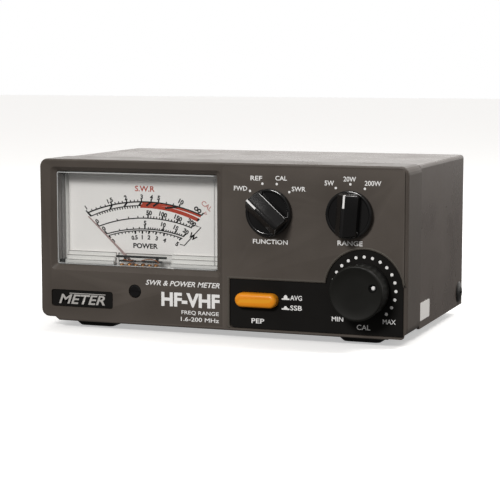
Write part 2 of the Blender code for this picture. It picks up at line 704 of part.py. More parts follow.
def build_movement(frame, needle_black, copper, bronze, brass, plastic):
    axis = empty("needle_axis", (METER_X, 0.0, PIVOT_Z), frame, NEEDLE_REST_DEG)

    coil = solid("moving_coil", lambda bm: add_box(bm, (-7.2, 12.4, -1.3), (7.2, 26.2, 1.3)), axis, copper)
    bevel(coil, 0.3, 1)
    cut(coil, lambda bm: add_box(bm, (-5.7, 13.6, -3.0), (5.7, 25.0, 3.0)))

    def staff(bm):
        add_turned(bm, [(0.0, 8.5), (0.5, 8.9), (0.5, 13.0), (0.0, 13.0)], steps=12)
        add_turned(bm, [(0.0, 25.5), (0.5, 25.5), (0.5, 29.6), (0.0, 30.0)], steps=12)

    join(coil, staff)

    def pointer(bm):
        outline = [(-0.55, 1.0), (0.55, 1.0), (0.16, NEEDLE_LENGTH), (-0.16, NEEDLE_LENGTH)]
        add_prism(bm, outline, 9.7, 10.1)

    needle = solid("needle", pointer, axis, needle_black)

    def hub(bm):
        add_turned(bm, [(1.7, 9.5), (1.7, 10.3), (0.8, 10.3), (0.8, 9.5)], steps=20)

    def tail(bm):
        add_box(bm, (-0.35, 9.6, -6.6), (0.35, 10.2, -1.2))
        add_cylinder(bm, 1.1, 9.4, 10.4, (0.0, -6.4), steps=14)

    join(needle, hub)
    join(needle, tail)

    def spiral(bm):
        turns = 3.0
        steps = 42
        inner, outer, half_band = 1.2, 5.4, 0.13
        rings = []
        for k in range(steps + 1):
            angle = 2 * math.pi * turns * k / steps
            radius = inner + (outer - inner) * k / steps
            ring = []
            for reach, along in ((-1, 8.5), (1, 8.5), (1, 9.2), (-1, 9.2)):
                r = radius + reach * half_band
                ring.append(bm.verts.new(Vector((r * math.sin(angle), along, r * math.cos(angle))) * MM))
            rings.append(ring)
        for first, second in zip(rings, rings[1:]):
            for k in range(4):
                m = (k + 1) % 4
                bm.faces.new((first[k], first[m], second[m], second[k]))
        bm.faces.new(rings[0])
        bm.faces.new(rings[-1])

    solid("hairspring", spiral, axis, bronze)

    zero_arm_axis = empty("zero_arm_axis", (METER_X, 0.0, PIVOT_Z), frame)
    arm = solid("zero_adjust_arm",
                lambda bm: add_turned(bm, [(3.2, 5.5), (3.2, 6.4), (1.9, 6.4), (1.9, 5.5)], steps=24),
                zero_arm_axis, brass)
    reach = PIVOT_Z - ZERO_SCREW_Z
    join(arm, lambda bm: add_prism(bm, [(-1.7, -reach - 0.8), (1.7, -reach - 0.8), (1.3, -2.2), (-1.3, -2.2)],
                                   5.5, 6.4))
    cut(arm, lambda bm: add_box(bm, (-0.62, 5.0, -reach - 2.0), (0.62, 7.0, -reach + 1.5)))

    zero_axis = empty("zero_screw_axis", (METER_X, 0.0, ZERO_SCREW_Z), frame)
    head = [(0.0, 0.3), (2.1, 0.3), (2.45, 0.6), (2.45, 2.9), (1.5, 2.9), (1.5, 4.9), (0.0, 4.9)]
    zero = solid("zero_adjust_screw", lambda bm: add_turned(bm, head, steps=24), zero_axis, plastic)
    join(zero, lambda bm: add_cylinder(bm, 0.35, 4.5, 6.2, (0.0, ZERO_PIN_OFFSET), steps=10))
    cut(zero, lambda bm: add_box(bm, (-3.0, -1.0, -0.35), (3.0, 1.2, 0.35)))


# ---------------------------------------------------------------- controls


def build_switch(name, centre, frame, body, half, back_y, bushing_front_y, square=True):
    """A rotary switch or potentiometer: its body behind the panel with a bushing through it."""
    x, z = centre
    front = PANEL_BACK_Y + GAP

    def block(bm):
        if square:
            add_prism(bm, rounded_rectangle((x - half, z - half), (x + half, z + half), 2.0, 3), front, back_y)
        else:
            add_cylinder(bm, half, front, back_y, centre, steps=32)

    switch = solid(name, block, frame, body)
    join(switch, lambda bm: add_cylinder(bm, BUSHING_RADIUS, bushing_front_y, front + 1.5, centre, steps=20))
    cut(switch, lambda bm: add_cylinder(bm, SHAFT_RADIUS + GAP, bushing_front_y - 1.0, back_y - 1.5, centre, steps=20))


def build_nut(name, centre, frame, steel, start, end, across=12.6):
    nut = solid(name, lambda bm: add_prism(bm, regular_polygon(centre, across / 2, 6), start, end), frame, steel)
    cut(nut, lambda bm: add_cylinder(bm, BUSHING_RADIUS + GAP, start - 1.0, end + 1.0, centre, steps=20))


def build_shaft(name, axis, steel, front_y, back_y):
    shaft = solid(name, lambda bm: add_cylinder(bm, SHAFT_RADIUS, front_y, back_y, steps=24), axis, steel)
    cut(shaft, lambda bm: add_box(bm, (-4.0, front_y - 1.0, 1.6), (4.0, front_y + 5.0, 4.0)))


def build_bar_knob(name, axis, black):
    """A skirted knob with a ridged bar across it, and a groove for its white line at the pointing end."""
    skirt_back = -0.4
    skirt_front = -2.4
    r = SKIRT_RADIUS
    profile = [(0.0, skirt_back), (r - 0.1, skirt_back), (r, skirt_back - 0.3), (r - 0.1, skirt_front + 0.35)]
    profile += [(r - 0.5, skirt_front), (r - 1.1, skirt_front), (r - 1.3, skirt_front + 0.3), (0.0, skirt_front + 0.3)]
    knob = solid(name, lambda bm: add_turned(bm, profile, steps=32), axis, black)

    def bar(bm):
        sections = []
        for along, half_width, reach in ((skirt_front + 1.0, 4.4, 8.3), (BAR_SHOULDER_Y, 4.15, 8.15),
                                         (BAR_FRONT_Y, 0.75, 7.9)):
            outline = rounded_rectangle((-half_width, -reach), (half_width, reach), 0.35 * half_width, 4)
            sections.append((along, outline))
        add_loft(bm, sections)

    def line_groove(bm):
        add_box(bm, (-0.35, BAR_FRONT_Y - 1.0, 4.0), (0.35, BAR_FRONT_Y + 0.25, 9.0))

    join(knob, bar)
    cut(knob, lambda bm: add_cylinder(bm, SHAFT_RADIUS + GAP, -5.0, 1.0, steps=24))
    cut(knob, line_groove)


def build_cal_knob(axis, black):
    r = CAL_KNOB_RADIUS
    front = CAL_KNOB_FRONT_Y
    back = -0.1
    profile = [(0.0, front + 0.25), (r - 1.6, front + 0.1), (r - 1.1, front), (r - 0.45, front + 0.4)]
    profile += [(r - 0.12, front + 1.1), (r, -0.6), (r - 0.1, back), (8.6, back), (8.6, back - 2.9), (0.0, back - 2.9)]
    knob = solid("cal_knob", lambda bm: add_turned(bm, profile, steps=36), axis, black)

    def bore_and_dimple(bm):
        add_cylinder(bm, SHAFT_RADIUS + GAP, front + 2.6, 1.0, steps=24)
        add_turned(bm, [(0.0, front - 1.0), (1.6, front - 1.0), (1.6, front + 0.4), (1.2, front + 1.1),
                        (0.0, front + 1.3)], (0.0, 7.0), steps=18)

    cut(knob, bore_and_dimple)


def build_controls(frame, black, steel, switch_body, board_green):
    half = 11.0
    for name, centre, rest in (("function", (FUNCTION_X, FUNCTION_Z), FUNCTION_REST_DEG),
                               ("range", (RANGE_X, RANGE_Z), RANGE_REST_DEG)):
        axis = empty(f"{name}_axis", (centre[0], 0.0, centre[1]), frame, rest)
        build_switch(f"{name}_switch", centre, frame, switch_body, half, 14.0, -0.1)
        build_nut(f"{name}_nut", centre, frame, steel, 0.1, 1.3)
        build_shaft(f"{name}_shaft", axis, steel, -4.7, 12.2)
        build_bar_knob(f"{name}_knob", axis, black)

    centre = (CAL_X, CAL_Z)
    axis = empty("cal_axis", (CAL_X, 0.0, CAL_Z), frame, CAL_REST_DEG)
    build_switch("cal_potentiometer", centre, frame, switch_body, 10.0, 13.0, -0.6, square=False)
    build_nut("cal_nut", centre, frame, steel, -0.4, 0.8)
    build_shaft("cal_shaft", axis, steel, CAL_KNOB_FRONT_Y + 2.9, 11.2)
    build_cal_knob(axis, black)

    outline = [(30.5, 6.0), (73.0, 6.0), (73.0, 62.0), (8.0, 62.0), (8.0, 22.0), (30.5, 22.0)]
    solid("control_board", lambda bm: add_prism(bm, outline, 14.4, 16.0), frame, board_green)


def build_push_switch(frame, orange, switch_body, white, steel):
    button_axis = empty("pep_button_travel", (BUTTON_X, 0.0, BUTTON_Z), frame)
    button = solid("pep_button",
                   lambda bm: add_prism(bm, capsule((0.0, 0.0), BUTTON_LENGTH, BUTTON_HEIGHT),
                                        BUTTON_FRONT_Y, BUTTON_BACK_Y),
                   button_axis, orange)
    bevel(button, 0.6, 3, 60.0)
    cut(button, lambda bm: add_cylinder(bm, 1.4 + GAP, 1.2, BUTTON_BACK_Y + 1.0, steps=16))
    solid("pep_plunger", lambda bm: add_cylinder(bm, 1.4, 1.5, 17.0, steps=16), button_axis, white)

    def body(bm):
        add_prism(bm, rectangle(BUTTON_X - 7.0, BUTTON_Z - 4.5, BUTTON_X + 7.0, BUTTON_Z + 4.5), 9.4, 24.0)

    switch = solid("pep_switch", body, frame, switch_body)
    cut(switch, lambda bm: add_cylinder(bm, 1.4 + GAP, 8.0, 20.6, (BUTTON_X, BUTTON_Z), steps=16))

    def coil(bm):
        turns = 3.5
        per_turn = 12
        sides = 5
        start, end = 5.2, 8.8
        mean_radius, wire = 2.15, 0.25
        rings = []
        steps = int(turns * per_turn)
        for k in range(steps + 1):
            angle = 2 * math.pi * k / per_turn
            along = start + (end - start) * k / steps
            ring = []
            for s in range(sides):
                round_wire = 2 * math.pi * s / sides
                r = mean_radius + wire * math.cos(round_wire)
                y = along + wire * math.sin(round_wire)
                ring.append(bm.verts.new(Vector((r * math.sin(angle), y, r * math.cos(angle))) * MM))
            rings.append(ring)
        for first, second in zip(rings, rings[1:]):
            for s in range(sides):
                m = (s + 1) % sides
                bm.faces.new((first[s], first[m], second[m], second[s]))
        bm.faces.new(rings[0])
        bm.faces.new(rings[-1])

    solid("pep_spring", coil, button_axis, steel)


# ---------------------------------------------------------------- coupler and rear connectors


def build_connector(name, x, frame, nickel, ptfe, silver):
    """A panel socket: square flange and threaded barrel, an insulator in it and a contact through that."""
    flange_front = BODY_DEPTH
    outline = rounded_rectangle((x - 12.7, CONNECTOR_Z - 12.7), (x + 12.7, CONNECTOR_Z + 12.7), 1.5, 3)
    shell = solid(f"{name}_connector", lambda bm: add_prism(bm, outline, flange_front, flange_front + 1.8),
                  frame, nickel)
    spot = (x, CONNECTOR_Z)

    def barrel(bm):
        profile = [(0.0, 88.0), (6.5, 88.0), (6.5, flange_front + 0.5), (BARREL_RADIUS, flange_front + 0.5)]
        profile += [(BARREL_RADIUS, CONNECTOR_END_Y - 0.5), (BARREL_RADIUS - 0.5, CONNECTOR_END_Y)]
        profile.append((0.0, CONNECTOR_END_Y))
        add_turned(bm, profile, spot, steps=24)

    def bore(bm):
        add_cylinder(bm, 6.0, 97.0, CONNECTOR_END_Y + 1.0, spot, steps=24)
        add_cylinder(bm, 4.3, 87.0, 99.0, spot, steps=16)
        for dx in (-9.1, 9.1):
            for dz in (-9.1, 9.1):
                add_cylinder(bm, 1.6, flange_front - 1.0, flange_front + 3.0, (x + dx, CONNECTOR_Z + dz), steps=8)

    join(shell, barrel)
    cut(shell, bore)
    insulator = [(4.0, 85.5), (4.0, 97.0 + GAP), (5.7, 97.0 + GAP), (5.7, 106.0), (2.9, 106.0), (2.9, 85.5)]
    solid(f"{name}_insulator", lambda bm: add_turned(bm, insulator, spot, steps=20), frame, ptfe)
    contact = [(0.0, 80.0), (2.6, 80.0), (2.6, 107.6), (2.0, 107.6), (2.0, 90.0), (0.0, 90.0)]
    solid(f"{name}_contact", lambda bm: add_turned(bm, contact, spot, steps=20), frame, silver)


def build_coupler(frame, tinplate, copper, board_green, moulding, lead_black):
    half = COUPLER_HALF_WIDTH
    wall = 0.8
    back = REAR_PANEL_Y - GAP
    can = solid("coupler_box", lambda bm: add_box(bm, (-half, COUPLER_FRONT_Y, COUPLER_BOTTOM),
                                                  (half, back, COUPLER_TOP)), frame, tinplate)
    cut(can, lambda bm: add_box(bm, (wall - half, COUPLER_FRONT_Y + wall, COUPLER_BOTTOM + wall),
                                (half - wall, back + 1.0, COUPLER_TOP - wall)))
    cut(can, lambda bm: add_cylinder(bm, 2.2, COUPLER_FRONT_Y - 1.0, COUPLER_FRONT_Y + 2.0, (33.0, 42.0), steps=16))
    line = [(-CONNECTOR_X, 79.6, CONNECTOR_Z), (-CONNECTOR_X, 76.0, CONNECTOR_Z), (-22.0, 72.5, CONNECTOR_Z),
            (-17.0, 71.0, CONNECTOR_Z), (0.0, 71.0, CONNECTOR_Z), (17.0, 71.0, CONNECTOR_Z),
            (22.0, 72.5, CONNECTOR_Z), (CONNECTOR_X, 76.0, CONNECTOR_Z), (CONNECTOR_X, 79.6, CONNECTOR_Z)]
    tube("coupler_line", line, 1.5, frame, copper)
    solid("sense_board", lambda bm: add_box(bm, (-36.0, 65.0, 24.5), (36.0, 84.0, 26.1)), frame, board_green)

    rear = BODY_DEPTH
    jack = [(0.0, 82.0), (5.6, 82.0), (5.6, REAR_PANEL_Y - GAP), (3.9, REAR_PANEL_Y - GAP), (3.9, rear), (5.4, rear)]
    jack += [(5.4, rear + 1.6), (2.9, rear + 1.6), (2.9, 85.0), (1.0, 85.0), (1.0, rear + 0.6), (0.0, rear + 1.0)]
    solid("dc_jack", lambda bm: add_turned(bm, jack, (DC_X, DC_Z), steps=24), frame, moulding)

    harness = [(33.0, 66.0, 42.0), (33.0, 60.0, 42.0), (34.0, 54.0, 42.5), (38.0, 46.0, 44.0), (40.0, 38.0, 46.0),
               (38.0, 30.0, 47.0), (36.0, 22.0, 46.0), (36.0, 16.4, 46.0)]
    tube("coupler_harness", harness, 1.3, frame, lead_black)
    lead = [(DC_X, 81.6, DC_Z), (DC_X, 76.0, DC_Z), (56.0, 68.0, 13.0), (50.0, 60.0, 9.0), (36.0, 54.0, 6.0),
            (10.0, 52.0, 5.5), (-14.0, 50.0, 10.0), (-24.0, 48.0, 24.0), (-30.0, 46.0, 40.0),
            (METER_X, 42.0, LAMP_Z), (METER_X, 37.4, LAMP_Z)]
    tube("dc_lead", lead, 0.9, frame, lead_black)


# ---------------------------------------------------------------- the whole meter


clear_scene()
bpy.context.scene.unit_settings.scale_length = 1.0
MATERIALS = {
    "grey_paint": material("grey_paint", (0.075, 0.068, 0.058), 0.45),
    "cover_paint": material("cover_paint", (0.105, 0.092, 0.082), 0.42),
    "chassis_steel": material("chassis_steel", (0.30, 0.30, 0.29), 0.4, 0.9),
    "black_inlay": material("black_inlay", (0.012, 0.011, 0.010), 0.4),
    "black_knob": material("black_knob", (0.010, 0.010, 0.011), 0.3),
    "black_moulding": material("black_moulding", (0.015, 0.015, 0.016), 0.5),
    "black_steel": material("black_steel", (0.02, 0.02, 0.02), 0.35, 0.6),
    "foot_rubber": material("foot_rubber", (0.020, 0.019, 0.017), 0.7),
    "label_white": material("label_white", (0.78, 0.78, 0.76), 0.5),
    "clear_lens": material("clear_lens", (0.85, 0.87, 0.88), 0.05),
    "dial_white": material("dial_white", (0.80, 0.79, 0.76), 0.6),
    "steel": material("steel", (0.55, 0.55, 0.55), 0.3, 1.0),
    "magnet": material("magnet", (0.20, 0.20, 0.21), 0.4, 0.8),
    "brass": material("brass", (0.62, 0.45, 0.18), 0.3, 1.0),
    "bronze": material("bronze", (0.50, 0.30, 0.12), 0.3, 1.0),
    "copper": material("copper", (0.60, 0.26, 0.12), 0.35, 1.0),
    "silver": material("silver", (0.80, 0.78, 0.74), 0.25, 1.0),
    "nickel": material("nickel", (0.66, 0.64, 0.60), 0.25, 1.0),
    "ptfe": material("ptfe", (0.85, 0.85, 0.83), 0.5),
    "orange_button": material("orange_button", (0.80, 0.26, 0.012), 0.35),
    "white_plastic": material("white_plastic", (0.75, 0.74, 0.70), 0.5),
    "board_green": material("board_green", (0.03, 0.16, 0.06), 0.5),
    "tinplate": material("tinplate", (0.50, 0.50, 0.48), 0.35, 0.9),
    "lamp": material("lamp", (0.85, 0.75, 0.50), 0.2),
    "lead_black": material("lead_black", (0.02, 0.02, 0.02), 0.5),
}

case_frame = empty("case_frame", (0.0, -DEPTH_MIDDLE, FOOT_DROP))
M = MATERIALS
build_bezel(case_frame, M["grey_paint"])
build_trim(case_frame, M["black_inlay"], M["label_white"])
build_cover(case_frame, M["cover_paint"])
build_chassis(case_frame, M["chassis_steel"])
build_feet(case_frame, M["foot_rubber"])
build_bezel_screws(case_frame, M["black_steel"])
build_meter_case(case_frame, M["clear_lens"], M["black_moulding"])
build_dial(case_frame, M["dial_white"], M["steel"])
build_movement_frame(case_frame, M["steel"], M["magnet"], M["black_moulding"], M["brass"])
build_movement(case_frame, M["black_inlay"], M["copper"], M["bronze"], M["brass"], M["black_moulding"])
build_controls(case_frame, M["black_knob"], M["steel"], M["black_moulding"], M["board_green"])
build_push_switch(case_frame, M["orange_button"], M["black_moulding"], M["white_plastic"], M["steel"])
build_connector("tx", -CONNECTOR_X, case_frame, M["nickel"], M["ptfe"], M["silver"])
build_connector("antenna", CONNECTOR_X, case_frame, M["nickel"], M["ptfe"], M["silver"])
build_coupler(case_frame, M["tinplate"], M["copper"], M["board_green"], M["black_moulding"], M["lead_black"])
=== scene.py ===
"""Looks for the SWR and power meter: materials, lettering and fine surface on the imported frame.

Sizes are in millimetres in the case's own frame: X to the right as the front is seen, Y back from the
face of the control panel, Z up from the bezel's lowest edge. point() turns them into metres in the row frame.
"""

import math

import bmesh
import bpy
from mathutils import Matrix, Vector


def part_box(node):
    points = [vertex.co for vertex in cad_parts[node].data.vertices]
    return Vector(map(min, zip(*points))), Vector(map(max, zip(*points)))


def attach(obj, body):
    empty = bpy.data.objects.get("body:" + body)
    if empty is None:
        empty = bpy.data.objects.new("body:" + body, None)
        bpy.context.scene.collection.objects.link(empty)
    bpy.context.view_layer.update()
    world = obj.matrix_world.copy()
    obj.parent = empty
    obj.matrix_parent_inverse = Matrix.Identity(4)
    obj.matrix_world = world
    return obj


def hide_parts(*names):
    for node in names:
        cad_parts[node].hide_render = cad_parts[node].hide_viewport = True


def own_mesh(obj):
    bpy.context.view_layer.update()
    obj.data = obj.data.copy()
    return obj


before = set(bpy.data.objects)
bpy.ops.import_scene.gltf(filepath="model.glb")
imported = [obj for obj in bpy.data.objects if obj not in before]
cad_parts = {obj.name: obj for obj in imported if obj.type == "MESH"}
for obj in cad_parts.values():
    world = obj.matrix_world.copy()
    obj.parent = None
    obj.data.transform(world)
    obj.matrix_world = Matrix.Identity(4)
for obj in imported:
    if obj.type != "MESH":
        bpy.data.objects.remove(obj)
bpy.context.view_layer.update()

MM = 0.001
SHARP_DEG = 32.0  # faces that meet more steeply than this shade with a hard edge
FRONT_FACE_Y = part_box("front_bezel")[0].y  # the control panel's face
BEZEL_FOOT_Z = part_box("front_bezel")[0].z

METER_X, PIVOT_Z = -35.4, 19.1
# planes of the print, each just off the surface that carries it; the dial's red lies under its black
DIAL_PRINT_Y = 10.93
DIAL_RED_PRINT_Y = 10.96
PANEL_PRINT_Y = -0.04
INLAY_PRINT_Y = 0.26
METER_SIDE_PRINT_Y = 0.55
BADGE_PRINT_Y = 0.96
REAR_PRINT_Y = 93.95
PANEL_BOLD = 0.014
DIAL_BOLD = 0.045

# the controls' centres as (x, z), and how far clockwise from straight up each pointer rests
FUNCTION_AT = (22.24, 47.4)
RANGE_AT = (54.75, 47.6)
CAL_AT = (60.37, 18.92)
BUTTON_AT = (17.2, 12.85)
FUNCTION_REST_DEG = -48.0
RANGE_REST_DEG = 4.0
CAL_REST_DEG = 71.0
CAL_DIMPLE_RADIUS = 7.0
CAL_DOTS_RADIUS = 12.6

# the rear sockets: centres, the flange's faces, and its four holes from the centre
TX_X, ANTENNA_X = -24.0, 24.0
SOCKET_Z = 34.0
FLANGE_FRONT_Y, FLANGE_BACK_Y = 93.9, 95.7
FLANGE_HOLES = [(dx, dz) for dx in (-9.1, 9.1) for dz in (-9.1, 9.1)]

# the studio's brightness in front of the object, behind it, and from the floor
FRONT_GLOW = 0.27
REAR_GLOW = 1.05
FLOOR_GLOW = 0.12
FLOOR_EMISSION = 0.42

CAMERA_AT = (232.0, -587.9, 105.6)
CAMERA_AZIMUTH_DEG = 20.33
CAMERA_ELEVATION_DEG = 6.59
CAMERA_LENS = 116.64


# ---------------------------------------------------------------- geometry helpers


def point(x, y, z):
    return Vector((x * MM, y * MM + FRONT_FACE_Y, z * MM + BEZEL_FOOT_Z))


def arc(centre, radius, start_deg, end_deg, steps):
    points = []
    for k in range(steps + 1):
        angle = math.radians(start_deg + (end_deg - start_deg) * k / steps)
        points.append((centre[0] + radius * math.cos(angle), centre[1] + radius * math.sin(angle)))
    return points


def clock(centre, radius, angle_deg):
    """The point at a radius from a centre, clockwise from straight up."""
    angle = math.radians(angle_deg)
    return centre[0] + radius * math.sin(angle), centre[1] + radius * math.cos(angle)


def rounded_rectangle(x0, z0, x1, z1, r, steps=6):
    outline = arc((x1 - r, z0 + r), r, -90, 0, steps)
    outline += arc((x1 - r, z1 - r), r, 0, 90, steps)
    outline += arc((x0 + r, z1 - r), r, 90, 180, steps)
    return outline + arc((x0 + r, z0 + r), r, 180, 270, steps)


def capsule(centre, length, height, steps=14):
    x, z = centre
    r = height / 2
    reach = length / 2 - r
    return arc((x + reach, z), r, -90, 90, steps) + arc((x - reach, z), r, 90, 270, steps)


def add_skin(bm, rings):
    """A closed skin through rings that have equal numbers of vertices."""
    count = len(rings[0])
    for first, second in zip(rings, rings[1:]):
        for k in range(count):
            m = (k + 1) % count
            bm.faces.new((first[k], first[m], second[m], second[k]))
    bm.faces.new(rings[0])
    bm.faces.new(rings[-1])


def add_loft(bm, sections, to=point):
    """A body through (y, outline) sections with equal numbers of (x, z) points."""
    add_skin(bm, [[bm.verts.new(to(x, y, z)) for x, z in outline] for y, outline in sections])


def add_prism(bm, outline, y0, y1, to=point):
    add_loft(bm, [(y0, outline), (y1, outline)], to)


def add_box(bm, low, high, to=point):
    (x0, y0, z0), (x1, y1, z1) = low, high
    add_prism(bm, [(x0, z0), (x1, z0), (x1, z1), (x0, z1)], y0, y1, to)


def add_turned(bm, profile, centre=(0.0, 0.0), steps=64):
    """A body turned about an axis along Y. Its (radius, y) profile closes at radius 0 or on itself."""
    rings = []
    for radius, along in profile:
        count = steps if radius else 1
        spots = [clock(centre, radius, 360 * k / steps) for k in range(count)]
        rings.append([bm.verts.new(point(x, along, z)) for x, z in spots])
    pairs = list(zip(rings, rings[1:]))
    if len(rings[0]) > 1:
        pairs.append((rings[-1], rings[0]))
    for first, second in pairs:
        for k in range(steps):
            m = (k + 1) % steps
            corners = (first[k % len(first)], first[m % len(first)],
                       second[m % len(second)], second[k % len(second)])
            face = list(dict.fromkeys(corners))
            if len(face) > 2:
                bm.faces.new(face)


def add_wire(bm, points, radius, sides=10):
    """A round wire through (x, y, z) points, bent softly between them."""
    path = []
    for k in range(len(points) - 1):
        p0, p1, p2, p3 = (Vector(points[min(max(j, 0), len(points) - 1)]) for j in (k - 1, k, k + 1, k + 2))
        for step in range(6):
            t = step / 6
            path.append(0.5 * (2 * p1 + (p2 - p0) * t + (2 * p0 - 5 * p1 + 4 * p2 - p3) * t * t
                               + (3 * p1 - p0 - 3 * p2 + p3) * t ** 3))
    path.append(Vector(points[-1]))
    rings = []
    for k, here in enumerate(path):
        along = (path[min(k + 1, len(path) - 1)] - path[max(k - 1, 0)]).normalized()
        side = along.cross(Vector((0.0, 1.0, 0.001))).normalized()
        over = along.cross(side)
        ring = []
        for j in range(sides):
            turn = 2 * math.pi * j / sides
            rim = here + (side * math.cos(turn) + over * math.sin(turn)) * radius
            ring.append(bm.verts.new(point(*rim)))
        rings.append(ring)
    add_skin(bm, rings)


def linked(name, data):
    made = bpy.data.objects.new(name, data)
    bpy.context.scene.collection.objects.link(made)
    return made


def from_bmesh(name, bm, material=None, sharp_deg=SHARP_DEG):
    bmesh.ops.recalc_face_normals(bm, faces=bm.faces)
    mesh = bpy.data.meshes.new(name)
    bm.to_mesh(mesh)
    bm.free()
    mesh.shade_smooth()
    mesh.set_sharp_from_angle(angle=math.radians(sharp_deg))
    if material:
        mesh.materials.append(material)
    return linked(name, mesh)


def shape(name, fill, material=None, sharp_deg=SHARP_DEG):
    bm = bmesh.new()
    fill(bm)
    return from_bmesh(name, bm, material, sharp_deg)


def apply_modifiers(obj):
    """Turns the object's modifiers into plain mesh, with its hard edges marked again."""
    graph = bpy.context.evaluated_depsgraph_get()
    mesh = bpy.data.meshes.new_from_object(obj.evaluated_get(graph))
    obj.modifiers.clear()
    obj.data = mesh
    mesh.shade_smooth()
    mesh.set_sharp_from_angle(angle=math.radians(SHARP_DEG))


def bevel(obj, width, segments=3, above_deg=35.0):
    step = obj.modifiers.new("edges", "BEVEL")
    step.width = width * MM
    step.segments = segments
    step.limit_method = "ANGLE"
    step.angle_limit = math.radians(above_deg)


def cut(obj, fill):
    cutter = shape(f"{obj.name}_cutter", fill)
    step = obj.modifiers.new("cut", "BOOLEAN")
    step.operation = "DIFFERENCE"
    step.use_self = True
    step.object = cutter
    apply_modifiers(obj)
    bpy.data.objects.remove(cutter, do_unlink=True)


def merged(name, parts):
    """Joins finished objects into one, keeping each one's material."""
    bm = bmesh.new()
    materials = []
    for part in parts:
        apply_modifiers(part)
        held = part.data.materials[0]
        if held not in materials:
            materials.append(held)
        first = len(bm.faces)
        part.data.transform(part.matrix_world)
        bm.from_mesh(part.data)
        bm.faces.ensure_lookup_table()
        for face in bm.faces[first:]:
            face.material_index = materials.index(held)
        bpy.data.objects.remove(part, do_unlink=True)
    mesh = bpy.data.meshes.new(name)
    bm.to_mesh(mesh)
    bm.free()
    for held in materials:
        mesh.materials.append(held)
    return linked(name, mesh)


def place(obj, body="case", stands_for=None):
    """Puts an object on its body, and hides the solid it stands for."""
    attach(obj, body)
    if stands_for:
        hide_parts(stands_for)


def turned_by(angle_deg, centre):
    """A point() for pieces drawn with their pointer straight up, turned clockwise about a control's axis."""
    angle = math.radians(angle_deg)

    def to(x, y, z):
        across = x * math.cos(angle) + z * math.sin(angle)
        up = z * math.cos(angle) - x * math.sin(angle)
        return point(centre[0] + across, y, centre[1] + up)

    return to


# ---------------------------------------------------------------- materials


PATCH_LOW, PATCH_HIGH = 0.3, 0.7  # the part of the patch noise that carries its colours and gloss


def surface(name, colour, roughness, metallic=0.0, vary=0.12, vary_scale=60.0, rough_vary=0.08, grain=0.15,
            grain_scale=2500.0, grain_depth=0.02, wear=0.0, shine=0.5, stretch=(1.0, 1.0, 1.0)):
    """A moulded, painted or metal surface: soft colour patches, uneven gloss, a fine bump, and worn edges."""
    made = bpy.data.materials.new(name)
    made.use_nodes = True
    nodes, links = made.node_tree.nodes, made.node_tree.links
    shader = nodes["Principled BSDF"]
    shader.inputs["Metallic"].default_value = metallic
    shader.inputs["Specular IOR Level"].default_value = shine
    where = nodes.new("ShaderNodeTexCoord")
    scaled = nodes.new("ShaderNodeMapping")
    scaled.inputs["Scale"].default_value = stretch
    links.new(where.outputs["Object"], scaled.inputs["Vector"])

    patches = nodes.new("ShaderNodeTexNoise")
    patches.inputs["Scale"].default_value = vary_scale
    patches.inputs["Detail"].default_value = 4.0
    links.new(scaled.outputs["Vector"], patches.inputs["Vector"])
    tint = nodes.new("ShaderNodeValToRGB")
    dark = [c * (1 - vary) for c in colour]
    light = [min(1.0, c * (1 + vary)) for c in colour]
    tint.color_ramp.elements[0].position = PATCH_LOW
    tint.color_ramp.elements[1].position = PATCH_HIGH
    tint.color_ramp.elements[0].color = (*dark, 1.0)
    tint.color_ramp.elements[1].color = (*light, 1.0)
    links.new(patches.outputs["Fac"], tint.inputs["Fac"])

    fine = nodes.new("ShaderNodeTexNoise")
    fine.inputs["Scale"].default_value = grain_scale
    fine.inputs["Detail"].default_value = 2.0
    links.new(scaled.outputs["Vector"], fine.inputs["Vector"])
    speck = nodes.new("ShaderNodeMix")
    speck.data_type = "RGBA"
    speck.blend_type = "OVERLAY"
    speck.inputs["Factor"].default_value = grain
    links.new(tint.outputs["Color"], speck.inputs["A"])
    grey = nodes.new("ShaderNodeHueSaturation")
    grey.inputs["Saturation"].default_value = 0.0
    links.new(fine.outputs["Color"], grey.inputs["Color"])
    links.new(grey.outputs["Color"], speck.inputs["B"])
    colour_out = speck.outputs["Result"]

    if wear > 0.0:
        edges = nodes.new("ShaderNodeNewGeometry")
        ramp = nodes.new("ShaderNodeValToRGB")
        ramp.color_ramp.elements[0].position = 0.52
        ramp.color_ramp.elements[1].position = 0.62
        links.new(edges.outputs["Pointiness"], ramp.inputs["Fac"])
        share = nodes.new("ShaderNodeMath")
        share.operation = "MULTIPLY"
        share.inputs[1].default_value = wear
        links.new(ramp.outputs["Color"], share.inputs[0])
        rub = nodes.new("ShaderNodeMix")
        rub.data_type = "RGBA"
        worn = [min(1.0, c * 2.2 + 0.03) for c in colour]
        rub.inputs["B"].default_value = (*worn, 1.0)
        links.new(share.outputs["Value"], rub.inputs["Factor"])
        links.new(colour_out, rub.inputs["A"])
        colour_out = rub.outputs["Result"]
    links.new(colour_out, shader.inputs["Base Color"])

    gloss = nodes.new("ShaderNodeMapRange")
    gloss.inputs["From Min"].default_value = PATCH_LOW
    gloss.inputs["From Max"].default_value = PATCH_HIGH
    gloss.inputs["To Min"].default_value = max(0.02, roughness - rough_vary)
    gloss.inputs["To Max"].default_value = min(1.0, roughness + rough_vary)
    links.new(patches.outputs["Fac"], gloss.inputs["Value"])
    links.new(gloss.outputs["Result"], shader.inputs["Roughness"])

    bump = nodes.new("ShaderNodeBump")
    bump.inputs["Strength"].default_value = 0.35
    bump.inputs["Distance"].default_value = grain_depth * MM
    links.new(fine.outputs["Fac"], bump.inputs["Height"])
    links.new(bump.outputs["Normal"], shader.inputs["Normal"])
    return made


